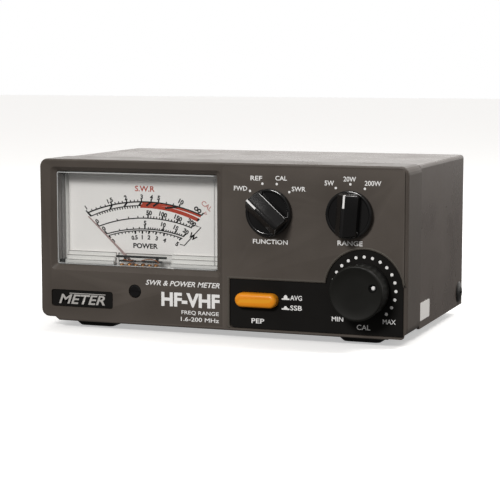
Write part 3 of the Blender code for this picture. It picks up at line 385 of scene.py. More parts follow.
def clear_plastic(name, squarely, at_a_glance):
    """Clear moulded plastic: how much of it shows squarely and at a glance, with a faint haze of wear."""
    made = bpy.data.materials.new(name)
    made.use_nodes = True
    nodes, links = made.node_tree.nodes, made.node_tree.links
    shader = nodes["Principled BSDF"]
    shader.inputs["Base Color"].default_value = (0.86, 0.88, 0.88, 1.0)
    where = nodes.new("ShaderNodeTexCoord")
    smears = nodes.new("ShaderNodeTexNoise")
    smears.inputs["Scale"].default_value = 45.0
    smears.inputs["Detail"].default_value = 6.0
    links.new(where.outputs["Object"], smears.inputs["Vector"])
    gloss = nodes.new("ShaderNodeMapRange")
    gloss.inputs["To Min"].default_value = 0.02
    gloss.inputs["To Max"].default_value = 0.12
    links.new(smears.outputs["Fac"], gloss.inputs["Value"])
    links.new(gloss.outputs["Result"], shader.inputs["Roughness"])
    through = nodes.new("ShaderNodeBsdfTransparent")
    through.inputs["Color"].default_value = (0.985, 0.99, 0.99, 1.0)
    glance = nodes.new("ShaderNodeLayerWeight")
    glance.inputs["Blend"].default_value = 0.22
    share = nodes.new("ShaderNodeMapRange")
    share.inputs["To Min"].default_value = squarely
    share.inputs["To Max"].default_value = at_a_glance
    links.new(glance.outputs["Fresnel"], share.inputs["Value"])
    mix = nodes.new("ShaderNodeMixShader")
    links.new(share.outputs["Result"], mix.inputs["Fac"])
    links.new(through.outputs["BSDF"], mix.inputs[1])
    links.new(shader.outputs["BSDF"], mix.inputs[2])
    links.new(mix.outputs["Shader"], nodes["Material Output"].inputs["Surface"])
    return made


PAINT = surface("bezel_paint", (0.083, 0.070, 0.060), 0.42, vary=0.06, grain=0.10, grain_scale=2600,
                wear=0.22, shine=0.25)
PLATE_PAINT = surface("plate_paint", (0.084, 0.075, 0.064), 0.45, vary=0.05, grain=0.16, grain_scale=3000,
                      wear=0.45, shine=0.25)
COVER = surface("cover_paint", (0.100, 0.083, 0.073), 0.30, vary=0.05, grain=0.06, grain_scale=2600,
                wear=0.08, shine=0.25)
STEEL_PLATE = surface("zinc_plate", (0.42, 0.41, 0.38), 0.38, 0.85, vary=0.05, vary_scale=240,
                      rough_vary=0.03, grain=0.08, grain_scale=2600)
INLAY = surface("inlay_black", (0.0062, 0.0056, 0.0050), 0.48, vary=0.1, grain=0.1, grain_scale=3200,
                wear=0.10, shine=0.12)
BADGE = surface("badge_gloss", (0.0085, 0.008, 0.0075), 0.16, vary=0.1, grain=0.05, grain_depth=0.004,
                shine=0.4)
KNOB = surface("knob_black", (0.0045, 0.0043, 0.0045), 0.15, vary=0.1, grain=0.05, grain_scale=3000,
               grain_depth=0.006, shine=0.6)
CAL_BLACK = surface("cal_knob_black", (0.0085, 0.0085, 0.0072), 0.45, vary=0.1, grain=0.2, grain_scale=3500,
                    grain_depth=0.03, shine=0.22)
BLACK = surface("moulded_black", (0.012, 0.012, 0.013), 0.5, grain_scale=2500, shine=0.3)
SCREW_BLACK = surface("screw_black", (0.02, 0.019, 0.018), 0.32, 0.5, wear=0.5)
RUBBER = surface("foot_rubber", (0.0125, 0.0118, 0.0105), 0.68, vary=0.2, grain=0.2, grain_scale=1500,
                 grain_depth=0.05, shine=0.2)
LABEL = surface("label_paper", (0.92, 0.91, 0.88), 0.5, vary=0.02, grain=0.05)
LENS = clear_plastic("clear_lens", 0.010, 0.50)
# a whitish, half-opaque sheen: the painted highlight along the lens's rim
LENS_HIGHLIGHT = clear_plastic("lens_edge_painted_highlight", 0.55, 0.9)
DIAL = surface("dial_paper", (0.93, 0.905, 0.89), 0.62, vary=0.012, vary_scale=30, grain=0.02,
               grain_depth=0.004, shine=0.2)
# grey for painted shade: the lens's left wall and the gaps between the steps at the dial's foot
SHADE_GREY = surface("painted_shade_grey", (0.20, 0.185, 0.18), 0.35, vary=0.08, grain=0.03, shine=0.4)
LEDGE = surface("white_moulding", (0.80, 0.79, 0.77), 0.4, vary=0.03, grain=0.03, shine=0.4)
STEEL = surface("bright_steel", (0.60, 0.60, 0.60), 0.28, 1.0, vary=0.1, grain_scale=2000)
MAGNET = surface("magnet_grey", (0.22, 0.22, 0.23), 0.4, 0.8)
BRASS = surface("brass", (0.66, 0.48, 0.20), 0.28, 1.0, vary=0.12, grain_scale=1500)
BRONZE = surface("spring_bronze", (0.50, 0.24, 0.08), 0.30, 1.0, vary=0.1)
COPPER = surface("wound_copper", (0.45, 0.16, 0.06), 0.34, 0.9, vary=0.2, vary_scale=700,
                 stretch=(1.0, 1.0, 8.0))
SILVER = surface("contact_silver", (0.83, 0.80, 0.74), 0.22, 1.0, vary=0.06)
NICKEL = surface("nickel", (0.70, 0.68, 0.63), 0.20, 1.0, vary=0.08, grain_scale=1600)
PTFE = surface("ptfe", (0.86, 0.85, 0.82), 0.45, vary=0.03)
ORANGE = surface("button_orange", (0.94, 0.315, 0.012), 0.34, vary=0.05, grain=0.04, wear=0.2, shine=0.35)
PLASTIC = surface("white_plastic", (0.74, 0.72, 0.68), 0.5)
BOARD = surface("board_green", (0.03, 0.15, 0.055), 0.42, vary=0.3, vary_scale=300)
TIN = surface("tinplate", (0.55, 0.55, 0.52), 0.34, 0.9, vary=0.2, vary_scale=120)
LAMP = surface("lamp_glass", (0.86, 0.74, 0.46), 0.15, vary=0.05)
LEAD = surface("lead_sleeve", (0.016, 0.016, 0.017), 0.45)
NEEDLE = surface("needle_paint", (0.40, 0.29, 0.28), 0.45, vary=0.05, shine=0.3)
WHITE_INK = surface("white_ink", (0.99, 0.99, 0.98), 0.4, vary=0.02, grain=0.02)
# black for print, and for the painted shade lining the CAL knob's dimple
INK_AND_SHADE_BLACK = surface("black_ink_and_painted_shade", (0.006, 0.006, 0.006), 0.6, vary=0.05, shine=0.1)
RED_INK = surface("red_ink", (0.47, 0.050, 0.022), 0.6, vary=0.05, shine=0.1)
PALE_RED_INK = surface("pale_red_ink", (0.60, 0.27, 0.24), 0.6, vary=0.05, shine=0.1)
SILVER_INK = surface("silver_trim", (0.80, 0.78, 0.75), 0.28, 0.45, vary=0.05)

LOOKS = (
    (BADGE, "badge_plate"),
    (SCREW_BLACK, "bezel_screw_left bezel_screw_right cover_screw_left cover_screw_right"),
    (STEEL, "cal_nut cal_shaft dial_screw_left dial_screw_right function_nut function_shaft "
            "meter_yoke pep_spring range_nut range_shaft"),
    (BLACK, "cal_potentiometer dc_jack function_switch meter_base movement_bridge pep_switch range_switch"),
    (STEEL_PLATE, "chassis_tray"),
    (BOARD, "control_board sense_board"),
    (TIN, "coupler_box"),
    (LEAD, "coupler_harness dc_lead"),
    (COPPER, "coupler_line moving_coil"),
    (LAMP, "dial_lamp"),
    (RUBBER, "foot_front_left foot_front_right foot_rear_left foot_rear_right"),
    (PAINT, "front_bezel"),
    (BRONZE, "hairspring"),
    (BRASS, "jewel_screw meter_terminal_negative meter_terminal_positive zero_adjust_arm"),
    (MAGNET, "magnet_core"),
    (DIAL, "meter_dial"),
    (LENS, "meter_lens_cover"),
    (NEEDLE, "needle"),
    (ORANGE, "pep_button"),
    (PLASTIC, "pep_plunger"),
    (LABEL, "side_label"),
    (COVER, "top_cover"),
    (NICKEL, "tx_connector antenna_connector"),
    (SILVER, "tx_contact antenna_contact"),
    (PTFE, "tx_insulator antenna_insulator"),
    (KNOB, "zero_adjust_screw function_knob range_knob"),
    (INLAY, "control_inlay"),
    (CAL_BLACK, "cal_knob"),
)


def dress_frame():
    for look, names in LOOKS:
        for name in names.split():
            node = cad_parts[name]
            if not node.material_slots:
                node.data.materials.append(look)
            for held in node.material_slots:
                held.material = look


# ---------------------------------------------------------------- lettering and lines


def text_mesh(words, bold=0.0, slant=0.0):
    """The outline of a word as a flat mesh, and its box, in the text's own plane."""
    curve = bpy.data.curves.new("words", "FONT")
    curve.body = words
    curve.size = 1.0
    curve.offset = bold
    curve.shear = slant
    curve.resolution_u = 3
    holder = linked("words", curve)
    graph = bpy.context.evaluated_depsgraph_get()
    mesh = bpy.data.meshes.new_from_object(holder.evaluated_get(graph))
    bpy.data.objects.remove(holder, do_unlink=True)
    xs = [v.co.x for v in mesh.vertices]
    ys = [v.co.y for v in mesh.vertices]
    return mesh, min(xs), max(xs), min(ys), max(ys)


def add_text(bm, words, box, y, bold=0.0, slant=0.0):
    """Fits a word to a box (x0, z0, x1, z1) on the plane at y, facing the front."""
    mesh, low_x, high_x, low_y, high_y = text_mesh(words, bold, slant)
    x0, z0, x1, z1 = box
    first = len(bm.verts)
    bm.from_mesh(mesh)
    bm.verts.ensure_lookup_table()
    for vert in bm.verts[first:]:
        u = (vert.co.x - low_x) / (high_x - low_x)
        v = (vert.co.y - low_y) / (high_y - low_y)
        vert.co = point(x0 + (x1 - x0) * u, y, z0 + (z1 - z0) * v)


def add_label(bm, words, centre, height, y, turn_deg=0.0, bold=0.0, faces_rear=False):
    """A word of a given height, centred on a point and turned clockwise."""
    mesh, low_x, high_x, low_y, high_y = text_mesh(words, bold)
    scale = height / (high_y - low_y)
    angle = math.radians(turn_deg)
    first = len(bm.verts)
    bm.from_mesh(mesh)
    bm.verts.ensure_lookup_table()
    for vert in bm.verts[first:]:
        a = (vert.co.x - (low_x + high_x) / 2) * (-scale if faces_rear else scale)
        b = (vert.co.y - (low_y + high_y) / 2) * scale
        x = centre[0] + a * math.cos(angle) + b * math.sin(angle)
        z = centre[1] + b * math.cos(angle) - a * math.sin(angle)
        vert.co = point(x, y, z)


def add_stroke(bm, points, width, y):
    """A printed line through (x, z) points."""
    left, right = [], []
    for k, here in enumerate(points):
        before = Vector(points[max(k - 1, 0)])
        after = Vector(points[min(k + 1, len(points) - 1)])
        along = (after - before).normalized()
        side = Vector((-along.y, along.x)) * width / 2
        for rim, spot in ((left, Vector(here) + side), (right, Vector(here) - side)):
            rim.append(bm.verts.new(point(spot.x, y, spot.y)))
    for k in range(len(points) - 1):
        bm.faces.new((left[k], right[k], right[k + 1], left[k + 1]))


def add_disc(bm, centre, radius, y, steps=20):
    verts = [bm.verts.new(point(x, y, z)) for x, z in arc(centre, radius, 0, 360 - 360 / steps, steps - 1)]
    bm.faces.new(verts)


def printed(name, fill, ink, faces_rear=False):
    """Flat print on the case, facing the front or the rear."""
    bm = bmesh.new()
    fill(bm)
    bm.normal_update()
    for face in bm.faces:
        if (face.normal.y > 0) != faces_rear:
            face.normal_flip()
    mesh = bpy.data.meshes.new(name)
    bm.to_mesh(mesh)
    bm.free()
    mesh.materials.append(ink)
    place(linked(name, mesh))


# ---------------------------------------------------------------- dial


class Scale:
    """An arc on the dial: a circle through its two ends and its top, with marks that point at the pivot."""

    def __init__(self, left, top, right):
        (ax, ay), (bx, by), (cx, cy) = left, top, right
        d = 2 * (ax * (by - cy) + bx * (cy - ay) + cx * (ay - by))
        ux = ((ax**2 + ay**2) * (by - cy) + (bx**2 + by**2) * (cy - ay) + (cx**2 + cy**2) * (ay - by)) / d
        uy = ((ax**2 + ay**2) * (cx - bx) + (bx**2 + by**2) * (ax - cx) + (cx**2 + cy**2) * (bx - ax)) / d
        self.centre = (ux, uy)
        self.radius = math.hypot(ax - ux, ay - uy)
        self.start = math.degrees(math.atan2(ay - uy, ax - ux))
        self.end = math.degrees(math.atan2(cy - uy, cx - ux))

    def stroke(self, from_x=None, to_x=None, shift=0.0):
        """The arc, or its stretch between two values of x, moved outward by shift."""
        r, start, end = self.radius + shift, self.start, self.end
        if from_x is not None:
            start = math.degrees(math.acos((from_x - self.centre[0]) / r))
        if to_x is not None:
            end = math.degrees(math.acos((to_x - self.centre[0]) / r))
        return arc(self.centre, r, start, end, 60)

    def crossing(self, x):
        return x, self.centre[1] + math.sqrt(self.radius * self.radius - (x - self.centre[0]) ** 2)

    def mark(self, x, out, inward=0.0):
        """A short line at x, along the needle's direction there."""
        here = Vector(self.crossing(x))
        ray = (here - Vector((METER_X, PIVOT_Z))).normalized()
        return [tuple(here - ray * inward), tuple(here + ray * out)]


SWR_UPPER = Scale((-60.9, 43.6), (-36.9, 48.8), (-10.4, 44.1))
SWR_LOWER = Scale((-59.6, 42.2), (-37.8, 47.2), (-12.0, 42.3))
POWER_UPPER = Scale((-55.9, 38.2), (-35.3, 42.2), (-14.8, 38.9))
POWER_MIDDLE = Scale((-52.3, 35.2), (-35.4, 37.75), (-18.3, 35.3))
POWER_LOWER = Scale((-51.6, 34.5), (-35.0, 37.05), (-18.9, 34.5))


def spread(start, end, count):
    return [start + (end - start) * k / (count - 1) for k in range(count)]


def dial_black(bm):
    y = DIAL_PRINT_Y
    add_stroke(bm, SWR_UPPER.stroke(), 0.54, y)
    add_stroke(bm, SWR_LOWER.stroke(to_x=-36.9), 0.41, y)
    add_stroke(bm, POWER_UPPER.stroke(), 0.44, y)
    add_stroke(bm, POWER_MIDDLE.stroke(), 0.44, y)
    add_stroke(bm, POWER_LOWER.stroke(), 0.38, y)
    # the SWR scale's heavy marks run slantwise from its upper arc to its lower one
    for x_top, x_low in ((-50.0, -50.9), (-43.3, -44.5), (-36.8, -38.0), (-32.6, -34.7), (-29.4, -31.7),
                         (-20.8, -26.4)):
        add_stroke(bm, [SWR_UPPER.crossing(x_top), SWR_LOWER.crossing(x_low)], 0.79, y)
    for x in (-60.9, -50.0, -43.3, -36.8, -32.6, -29.4, -20.4, -10.6):
        add_stroke(bm, SWR_UPPER.mark(x, 1.3), 0.59, y)
    for x in (-58.8, -56.8, -54.8, -52.8, -48.4, -46.8, -45.2, -41.6, -39.9, -38.4, -26.0, -23.0):
        add_stroke(bm, SWR_UPPER.mark(x, 0.9), 0.44, y)
    for x in spread(-57.0, -38.6, 17):
        add_stroke(bm, SWR_LOWER.mark(x, 0.0, 1.0), 0.46, y)
    add_stroke(bm, SWR_UPPER.mark(-60.9, 0.0, 2.0), 0.77, y)
    add_stroke(bm, SWR_LOWER.mark(-12.0, 0.6, 0.6), 0.77, y)
    # 200 W and 20 W marks, out from their arcs
    for x in (-55.9, -34.0, -27.9, -21.5, -15.2):
        add_stroke(bm, POWER_UPPER.mark(x, 1.6), 0.64, y)
    for x in (-47.5, -42.5, -38.4, -36.0) + tuple(spread(-32.8, -16.2, 14)):
        add_stroke(bm, POWER_UPPER.mark(x, 0.9), 0.42, y)
    for x in (-52.3, -35.4, -27.7, -22.4, -18.5):
        add_stroke(bm, POWER_MIDDLE.mark(x, 1.6), 0.64, y)
    for x in (-46.5, -43.2, -40.4, -37.8) + tuple(spread(-33.9, -19.6, 16)):
        add_stroke(bm, POWER_MIDDLE.mark(x, 0.8), 0.42, y)
    # 5 W marks, in from theirs
    for x in (-51.6, -39.9, -36.6, -33.6, -30.3, -26.6, -19.4):
        add_stroke(bm, POWER_LOWER.mark(x, 0.0, 1.3), 0.59, y)
    for x in spread(-49.0, -20.6, 19):
        add_stroke(bm, POWER_LOWER.mark(x, 0.0, 0.8), 0.41, y)
    # bracket that ties the three power scales to their unit
    add_stroke(bm, [(-13.2, 39.9), (-10.8, 39.3), (-18.1, 31.7), (-20.0, 32.1)], 0.38, y)

    for words, spot, height, turn in (
        ("1", (-61.8, 45.7), 1.8, -38), ("1.5", (-50.9, 48.9), 1.9, -25), ("2", (-43.9, 50.3), 2.0, -14),
        ("3", (-36.7, 50.9), 1.9, -2), ("4", (-32.4, 50.8), 1.9, 5), ("5", (-29.2, 50.6), 1.9, 11),
        ("10", (-19.4, 49.3), 2.0, 27), ("0", (-56.8, 40.2), 2.0, -42), ("50", (-33.5, 44.4), 2.0, 4),
        ("100", (-27.3, 43.9), 2.0, 15), ("150", (-20.7, 42.7), 2.0, 25), ("200", (-14.8, 41.1), 2.0, 33),
        ("0", (-53.8, 37.3), 2.0, -42), ("5", (-35.3, 40.2), 1.9, 0), ("10", (-27.2, 39.8), 1.9, 16),
        ("15", (-21.7, 38.7), 1.9, 26), ("20", (-17.4, 37.4), 1.9, 34), ("0", (-49.6, 32.3), 2.0, -40),
        ("0.5", (-40.0, 34.1), 1.8, -8), ("1", (-36.6, 34.4), 1.8, -2), ("2", (-33.6, 34.4), 1.8, 5),
        ("3", (-30.2, 34.1), 1.8, 12), ("4", (-26.7, 33.5), 1.8, 20), ("5", (-21.2, 32.2), 1.9, 32),
        ("W", (-14.4, 35.4), 2.3, 40),
    ):
        add_label(bm, words, spot, height, y, turn, DIAL_BOLD)
    # the infinity sign, from two rings
    for side in (-1, 1):
        middle = (-12.2 + side * 0.66, 46.3 - side * 0.44)
        add_stroke(bm, arc(middle, 0.66, 0, 360, 18), 0.54, y)
    add_text(bm, "POWER", (-40.6, 29.8, -29.7, 31.9), y, bold=0.030)


def dial_red(bm):
    y = DIAL_RED_PRINT_Y
    add_text(bm, "S.W.R", (-39.7, 53.0, -31.0, 55.3), y, bold=0.018)
    add_stroke(bm, SWR_UPPER.stroke(from_x=-36.6, to_x=-10.9, shift=-0.60), 0.95, y)
    add_stroke(bm, SWR_LOWER.stroke(from_x=-37.4, to_x=-12.1, shift=-0.15), 1.5, y)


def dial_pale_red(bm):
    y = DIAL_PRINT_Y
    add_label(bm, "CAL", (-8.3, 48.0), 2.0, y, 38, bold=0.012)
    add_stroke(bm, [(-9.6, 44.9), (-8.7, 45.6), (-8.3, 44.6), (-9.6, 44.9)], 0.34, y)


# ---------------------------------------------------------------- panel lettering


def panel_white(bm):
    y = PANEL_PRINT_Y
    for words, box in (
        ("REF", (14.4, 59.6, 19.2, 61.4)), ("CAL", (24.6, 59.8, 29.4, 61.6)),
        ("FWD", (7.5, 55.5, 13.0, 57.3)), ("SWR", (31.3, 55.8, 36.9, 57.6)),
        ("FUNCTION", (15.4, 35.0, 29.7, 36.8)),
        ("5W", (44.5, 58.4, 48.3, 60.3)), ("20W", (52.0, 60.1, 57.0, 62.0)),
        ("200W", (60.4, 58.7, 66.9, 60.6)), ("RANGE", (49.8, 35.6, 59.8, 37.5)),
    ):
        add_text(bm, words, box, y, PANEL_BOLD)
    for centre, radius, angles in ((FUNCTION_AT, 11.4, (-45, -15, 15, 45)), (RANGE_AT, 11.5, (-30, 0, 30))):
        for angle in angles:
            add_disc(bm, clock(centre, radius, angle), 0.48, y)


def inlay_white(bm):
    y = INLAY_PRINT_Y
    for words, box in (
        ("AVG", (30.7, 13.4, 35.5, 15.3)), ("SSB", (30.7, 9.5, 35.5, 11.4)), ("PEP", (14.7, 3.6, 20.0, 5.5)),
        ("MIN", (47.6, 6.2, 52.2, 8.0)), ("MAX", (67.9, 6.2, 73.0, 8.0)), ("CAL", (57.6, 3.4, 63.0, 5.4)),
    ):
        add_text(bm, words, box, y, PANEL_BOLD)
    for angle in range(-135, 136, 15):
        add_disc(bm, clock(CAL_AT, CAL_DOTS_RADIUS, angle), 0.62, y)
    # pictograms: the button standing out, and pressed in
    for low, high in ((13.45, 15.3), (9.55, 10.95)):
        add_stroke(bm, [(27.2, low + 0.3), (30.4, low + 0.3)], 0.55, y)
        dome = ((27.9, low + 0.3), (28.1, high - 0.5), (28.5, high), (29.1, high), (29.5, high - 0.5),
                (29.7, low + 0.3))
        bm.faces.new([bm.verts.new(point(x, y - 0.002, z)) for x, z in dome])


def meter_side_white(bm):
    y = METER_SIDE_PRINT_Y
    add_text(bm, "SWR & POWER METER", (-30.6, 16.5, 1.2, 18.6), y, bold=0.016, slant=0.30)
    add_text(bm, "HF-VHF", (-23.8, 8.3, 1.2, 14.0), y, bold=0.040)
    add_text(bm, "FREQ RANGE", (-15.1, 5.2, 0.8, 7.0), y, bold=0.012)
    add_text(bm, "1.6-200 MHz", (-15.4, 2.7, 0.9, 4.4), y, bold=0.012)


# ---------------------------------------------------------------- controls


def build_bar_knob(name, body, centre, rest_deg):
    """The skirted bar knob with rounded edges, and the white line let into the ridge at its pointing end."""
    to = turned_by(rest_deg, centre)

    def skirt(bm):
        profile = [(0.0, -0.4), (9.05, -0.4), (9.2, -0.6), (9.2, -2.0), (9.1, -2.25), (8.85, -2.4),
                   (8.25, -2.4), (8.05, -2.3), (7.9, -2.05), (0.0, -2.05)]
        add_turned(bm, profile, centre, 96)

    def bar(bm):
        sections = []
        for along, half, reach, corner in (
            (-1.4, 4.42, 8.3, 1.4), (-4.3, 4.24, 8.17, 1.3), (-4.65, 4.20, 8.15, 1.28),
            (-4.95, 4.10, 8.13, 1.25), (-5.2, 3.93, 8.12, 1.2), (-5.42, 3.72, 8.1, 1.15),
            (-9.2, 1.10, 7.95, 0.36), (-9.6, 0.74, 7.9, 0.25), (-9.8, 0.40, 7.8, 0.12),
        ):
            sections.append((along, rounded_rectangle(-half, -reach, half, reach, corner, 5)))
        add_loft(bm, sections, to)

    def line(bm):
        add_box(bm, (-0.37, -9.84, 3.1), (0.37, -9.3, 7.94), to)
        add_loft(bm, [(-9.84, [(-0.37, 7.9), (0.37, 7.9), (0.37, 7.97), (-0.37, 7.97)]),
                      (-8.3, [(-0.37, 7.92), (0.37, 7.92), (0.37, 8.03), (-0.37, 8.03)])], to)

    parts = [shape(f"{name}_skirt", skirt, KNOB), shape(f"{name}_grip", bar, KNOB, 26.0),
             shape(f"{name}_line", line, WHITE_INK)]
    place(merged(f"{name}_finished", parts), body, name)


def build_cal_knob():
    """The round matt knob: a softly rounded rim, and a dimple with a white dot for its pointer, lined in
    black as painted shade.
    """
    dimple_at = clock(CAL_AT, CAL_DIMPLE_RADIUS, CAL_REST_DEG)

    def body(bm):
        profile = [(0.0, -11.02), (6.0, -11.03), (9.4, -11.08), (9.8, -11.2), (10.15, -11.17),
                   (10.38, -11.0), (10.52, -10.7), (10.58, -10.3), (10.6, -9.8), (10.25, -0.5),
                   (10.15, -0.1), (8.6, -0.1), (8.6, -3.0), (0.0, -3.0)]
        add_turned(bm, profile, CAL_AT, 128)

    def dimple(bm):
        profile = [(0.0, -12.5), (1.75, -12.5), (1.75, -11.1), (1.62, -10.85), (1.5, -10.3), (1.1, -9.9),
                   (0.0, -9.75)]
        add_turned(bm, profile, dimple_at, 32)

    def dot(bm):
        profile = [(0.0, -10.35), (0.55, -10.3), (0.78, -10.1), (0.8, -9.6), (0.0, -9.6)]
        add_turned(bm, profile, dimple_at, 24)

    # a black lining in the dimple: painted shade in the hollow
    def dimple_shade(bm):
        profile = [(1.66, -11.02), (1.60, -10.85), (1.46, -10.3), (1.06, -9.94), (0.7, -9.85), (0.7, -9.7),
                   (1.2, -9.75), (1.66, -10.3), (1.8, -10.9)]
        add_turned(bm, profile, dimple_at, 32)

    knob = shape("cal_knob_body", body, CAL_BLACK)
    cut(knob, dimple)
    parts = [knob, shape("cal_knob_dot", dot, WHITE_INK), shape("cal_knob_lining", dimple_shade, INK_AND_SHADE_BLACK)]
    place(merged("cal_knob_finished", parts), "cal_control", "cal_knob")


def build_button():
    """The push button, with the soft crown and wide rounded edge of a moulded cap."""

    def cap(bm):
        sections = []
        for along, inset in ((4.6, 0.0), (-1.6, 0.0), (-2.2, 0.08), (-2.7, 0.32), (-3.02, 0.72),
                             (-3.16, 1.2), (-3.2, 1.9)):
            sections.append((along, capsule(BUTTON_AT, 17.2 - 2 * inset, 5.6 - 2 * inset)))
        add_loft(bm, sections)

    def socket(bm):
        add_turned(bm, [(0.0, 1.2), (1.7, 1.2), (1.7, 6.0), (0.0, 6.0)], BUTTON_AT, 24)

    button = shape("pep_button_cap", cap, ORANGE, 50.0)
    cut(button, socket)
    place(button, "pep_control", "pep_button")


def build_button_spring():
    """The return spring between button and switch."""
    front_y, back_y, steps = 4.9, 9.1, 42

    def coil(bm):
        points = []
        for k in range(steps + 1):
            x, z = clock(BUTTON_AT, 2.15, 30 * k)
            points.append((x, front_y + (back_y - front_y) * k / steps, z))
        add_wire(bm, points, 0.2)

    spring = shape("pep_spring_coil", coil, STEEL)
    place(spring, stands_for="pep_spring")
    # 4.8 mm from button to switch at rest, 1.8 mm with the button in
    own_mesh(spring)


# ---------------------------------------------------------------- meter details


def build_meter_details():
    """White steps along the window's foot with lines of painted shade at their edges, a painted highlight
    along the lens's rim, bands of painted shade and white on the lens's left wall, and the movement's
    backing.
    """
    left, right = -69.9, -0.9
    notch_left, notch_right = METER_X - 12.6, METER_X + 12.6

    def ledges(bm):
        for x0, x1 in ((left, notch_left), (notch_right, right)):
            for y0, y1, top in ((10.05, 10.85, 27.9), (8.9, 10.05, 26.3), (7.6, 8.9, 24.6)):
                add_prism(bm, rounded_rectangle(x0, 22.9, x1, top, 0.2, 3), y0, y1)

    steps = shape("dial_foot_steps", ledges, LEDGE)
    bevel(steps, 0.12, 2)
    place(steps)

    def edge(bm):
        # a narrow sloping band along the lens's rim, half opaque and whitish: a painted highlight on all but
        # the right-hand side
        outer = rounded_rectangle(-70.1, 23.45, -0.7, 60.9, 0.65, 6)
        inner = rounded_rectangle(-69.75, 23.8, -1.05, 60.55, 0.4, 6)
        rings = [[bm.verts.new(point(x, y, z)) for x, z in outline]
                 for y, outline in ((1.48, outer), (1.36, inner))]
        for k in range(len(outer)):
            m = (k + 1) % len(outer)
            if min(outer[k][0], outer[m][0]) < -2.0:  # all but the right-hand side
                bm.faces.new((rings[0][k], rings[0][m], rings[1][m], rings[1][k]))

    place(shape("lens_edge_highlight", edge, LENS_HIGHLIGHT))

    # the lens's left wall in three bands: the front two are grey painted shade, the rear one is white
    # moulding
    for name, y0, y1, x1, look in (("lens_side_shade_front", 2.6, 4.9, -69.95, SHADE_GREY),
                                   ("lens_side_shade_middle", 5.1, 8.2, -69.75, SHADE_GREY),
                                   ("lens_side_rear", 8.4, 10.7, -69.5, LEDGE)):
        outline = rounded_rectangle(-70.1, 24.9, x1, 60.4, 0.05, 2)
        band = shape(name, lambda bm: add_prism(bm, outline, y0, y1), look)
        bevel(band, 0.06, 2)
        place(band)

    # grey lines of painted shade along the steps' edges, standing in for the shadowed gaps between the steps
    def step_shade_lines(bm):
        for x0, x1 in ((left + 0.2, notch_left), (notch_right, right - 0.2)):
            for y, z in ((10.02, 27.75), (8.87, 26.15), (7.57, 24.45)):
                add_stroke(bm, [(x0, z), (x1, z)], 0.22, y)

    printed("dial_foot_shade_lines", step_shade_lines, SHADE_GREY)

    def backing(bm):
        add_prism(bm, rounded_rectangle(METER_X - 11.9, 20.4, METER_X + 11.9, 27.5, 0.5, 4), 11.75, 12.05)

    place(shape("movement_backing", backing, LEDGE))


def build_bridge():
    """The movement's front plate as thin bars with gaps, its solder tabs and the wires in front of it."""
    x = METER_X

    def plate(bm):
        for x0, z0, x1, z1 in ((x - 11.0, 26.25, x + 11.2, 27.15), (x - 9.6, 24.45, x - 2.4, 25.25),
                               (x + 1.0, 24.4, x + 9.2, 25.3), (x - 2.4, 24.75, x + 1.0, 25.0),
                               (x - 7.6, 25.0, x - 6.6, 26.6), (x + 6.4, 25.0, x + 7.6, 26.6)):
            add_prism(bm, rounded_rectangle(x0, z0, x1, z1, 0.2, 3), 6.8, 7.4)
        add_prism(bm, rounded_rectangle(x - 11.2, 12.2, x + 11.2, 22.5, 0.8, 4), 6.8, 7.8)
        for way in (-1, 1):
            add_box(bm, (x + way * 9.4 - 1.0, 7.6, PIVOT_Z - 1.6), (x + way * 9.4 + 1.0, 12.9, PIVOT_Z + 1.6))

    def tabs(bm):
        add_prism(bm, rounded_rectangle(x - 9.4, 22.4, x + 7.6, 23.4, 0.3, 4), 6.95, 7.5)
        for at, height in ((-8.6, 0.5), (-5.2, 0.7), (-2.4, 0.5), (0.8, 0.8), (3.6, 0.6), (6.4, 0.7)):
            tab = rounded_rectangle(x + at - 0.9, 22.5, x + at + 0.9, 23.3 + height, 0.25, 3)
            bead = [(0.0, 6.3), (0.35, 6.35), (0.62, 6.55), (0.7, 6.9), (0.0, 6.9)]
            add_turned(bm, bead, (x + at, 22.9 + height * 0.3), 20)
            add_prism(bm, tab, 6.9, 7.3)

    def wires(bm):
        add_wire(bm, [(x + 0.4, 6.6, 25.3), (x + 3.0, 6.4, 25.9), (x + 6.4, 6.5, 25.7),
                      (x + 8.0, 6.7, 24.4)], 0.22)
        add_wire(bm, [(x - 7.8, 6.6, 25.6), (x - 5.0, 6.4, 25.1), (x - 3.2, 6.5, 25.5)], 0.2)

    bars = shape("bridge_bars", plate, BLACK)
    bevel(bars, 0.1, 2)
    parts = [bars, shape("bridge_tabs", tabs, BRONZE), shape("bridge_wires", wires, COPPER)]
    place(merged("bridge_finished", parts), "case", "movement_bridge")


# ---------------------------------------------------------------- panel trim


def inlay_outline(grow):
    """The inlay's outline, grown by a distance: from its lower right up, over the arch and down the left."""
    radius = 15.2 + grow
    top = 20.55 + grow
    start = math.degrees(math.asin((top - CAL_AT[1]) / radius))
    outline = [(75.7 + grow * 0.3, 1.6 - grow), (75.7 + grow * 0.3, top)]
    outline += arc(CAL_AT, radius, start, 180 - start, 60)
    outline += [(5.9 - grow, top)]
    return outline + arc((7.4 - grow, 3.1 - grow), 1.5, 180, 270, 6)


def build_trim():
    """A fine bead round the inlay's pocket, and a generic word in bright metal on the badge."""

    def bead(bm):
        widths = ((0.42, 0.0), (0.50, -0.16), (0.72, -0.24), (0.98, -0.16), (1.12, 0.0))
        # along the top only, without the lower corners
        rings = [[bm.verts.new(point(x, y, z)) for x, z in inlay_outline(grow)[1:-3]] for grow, y in widths]
        for first, second in zip(rings, rings[1:]):
            for k in range(len(first) - 1):
                bm.faces.new((first[k], first[k + 1], second[k + 1], second[k]))

    place(shape("inlay_bead", bead, PLATE_PAINT, 60.0))

    def badge_word(bm):
        add_text(bm, "METER", (-69.6, 7.0, -48.9, 10.9), BADGE_PRINT_Y, bold=0.018, slant=0.28)
        add_stroke(bm, [(-64.8, 11.35), (-48.6, 11.35)], 0.3, BADGE_PRINT_Y)

    printed("badge_word", badge_word, SILVER_INK)


# ---------------------------------------------------------------- rear sockets


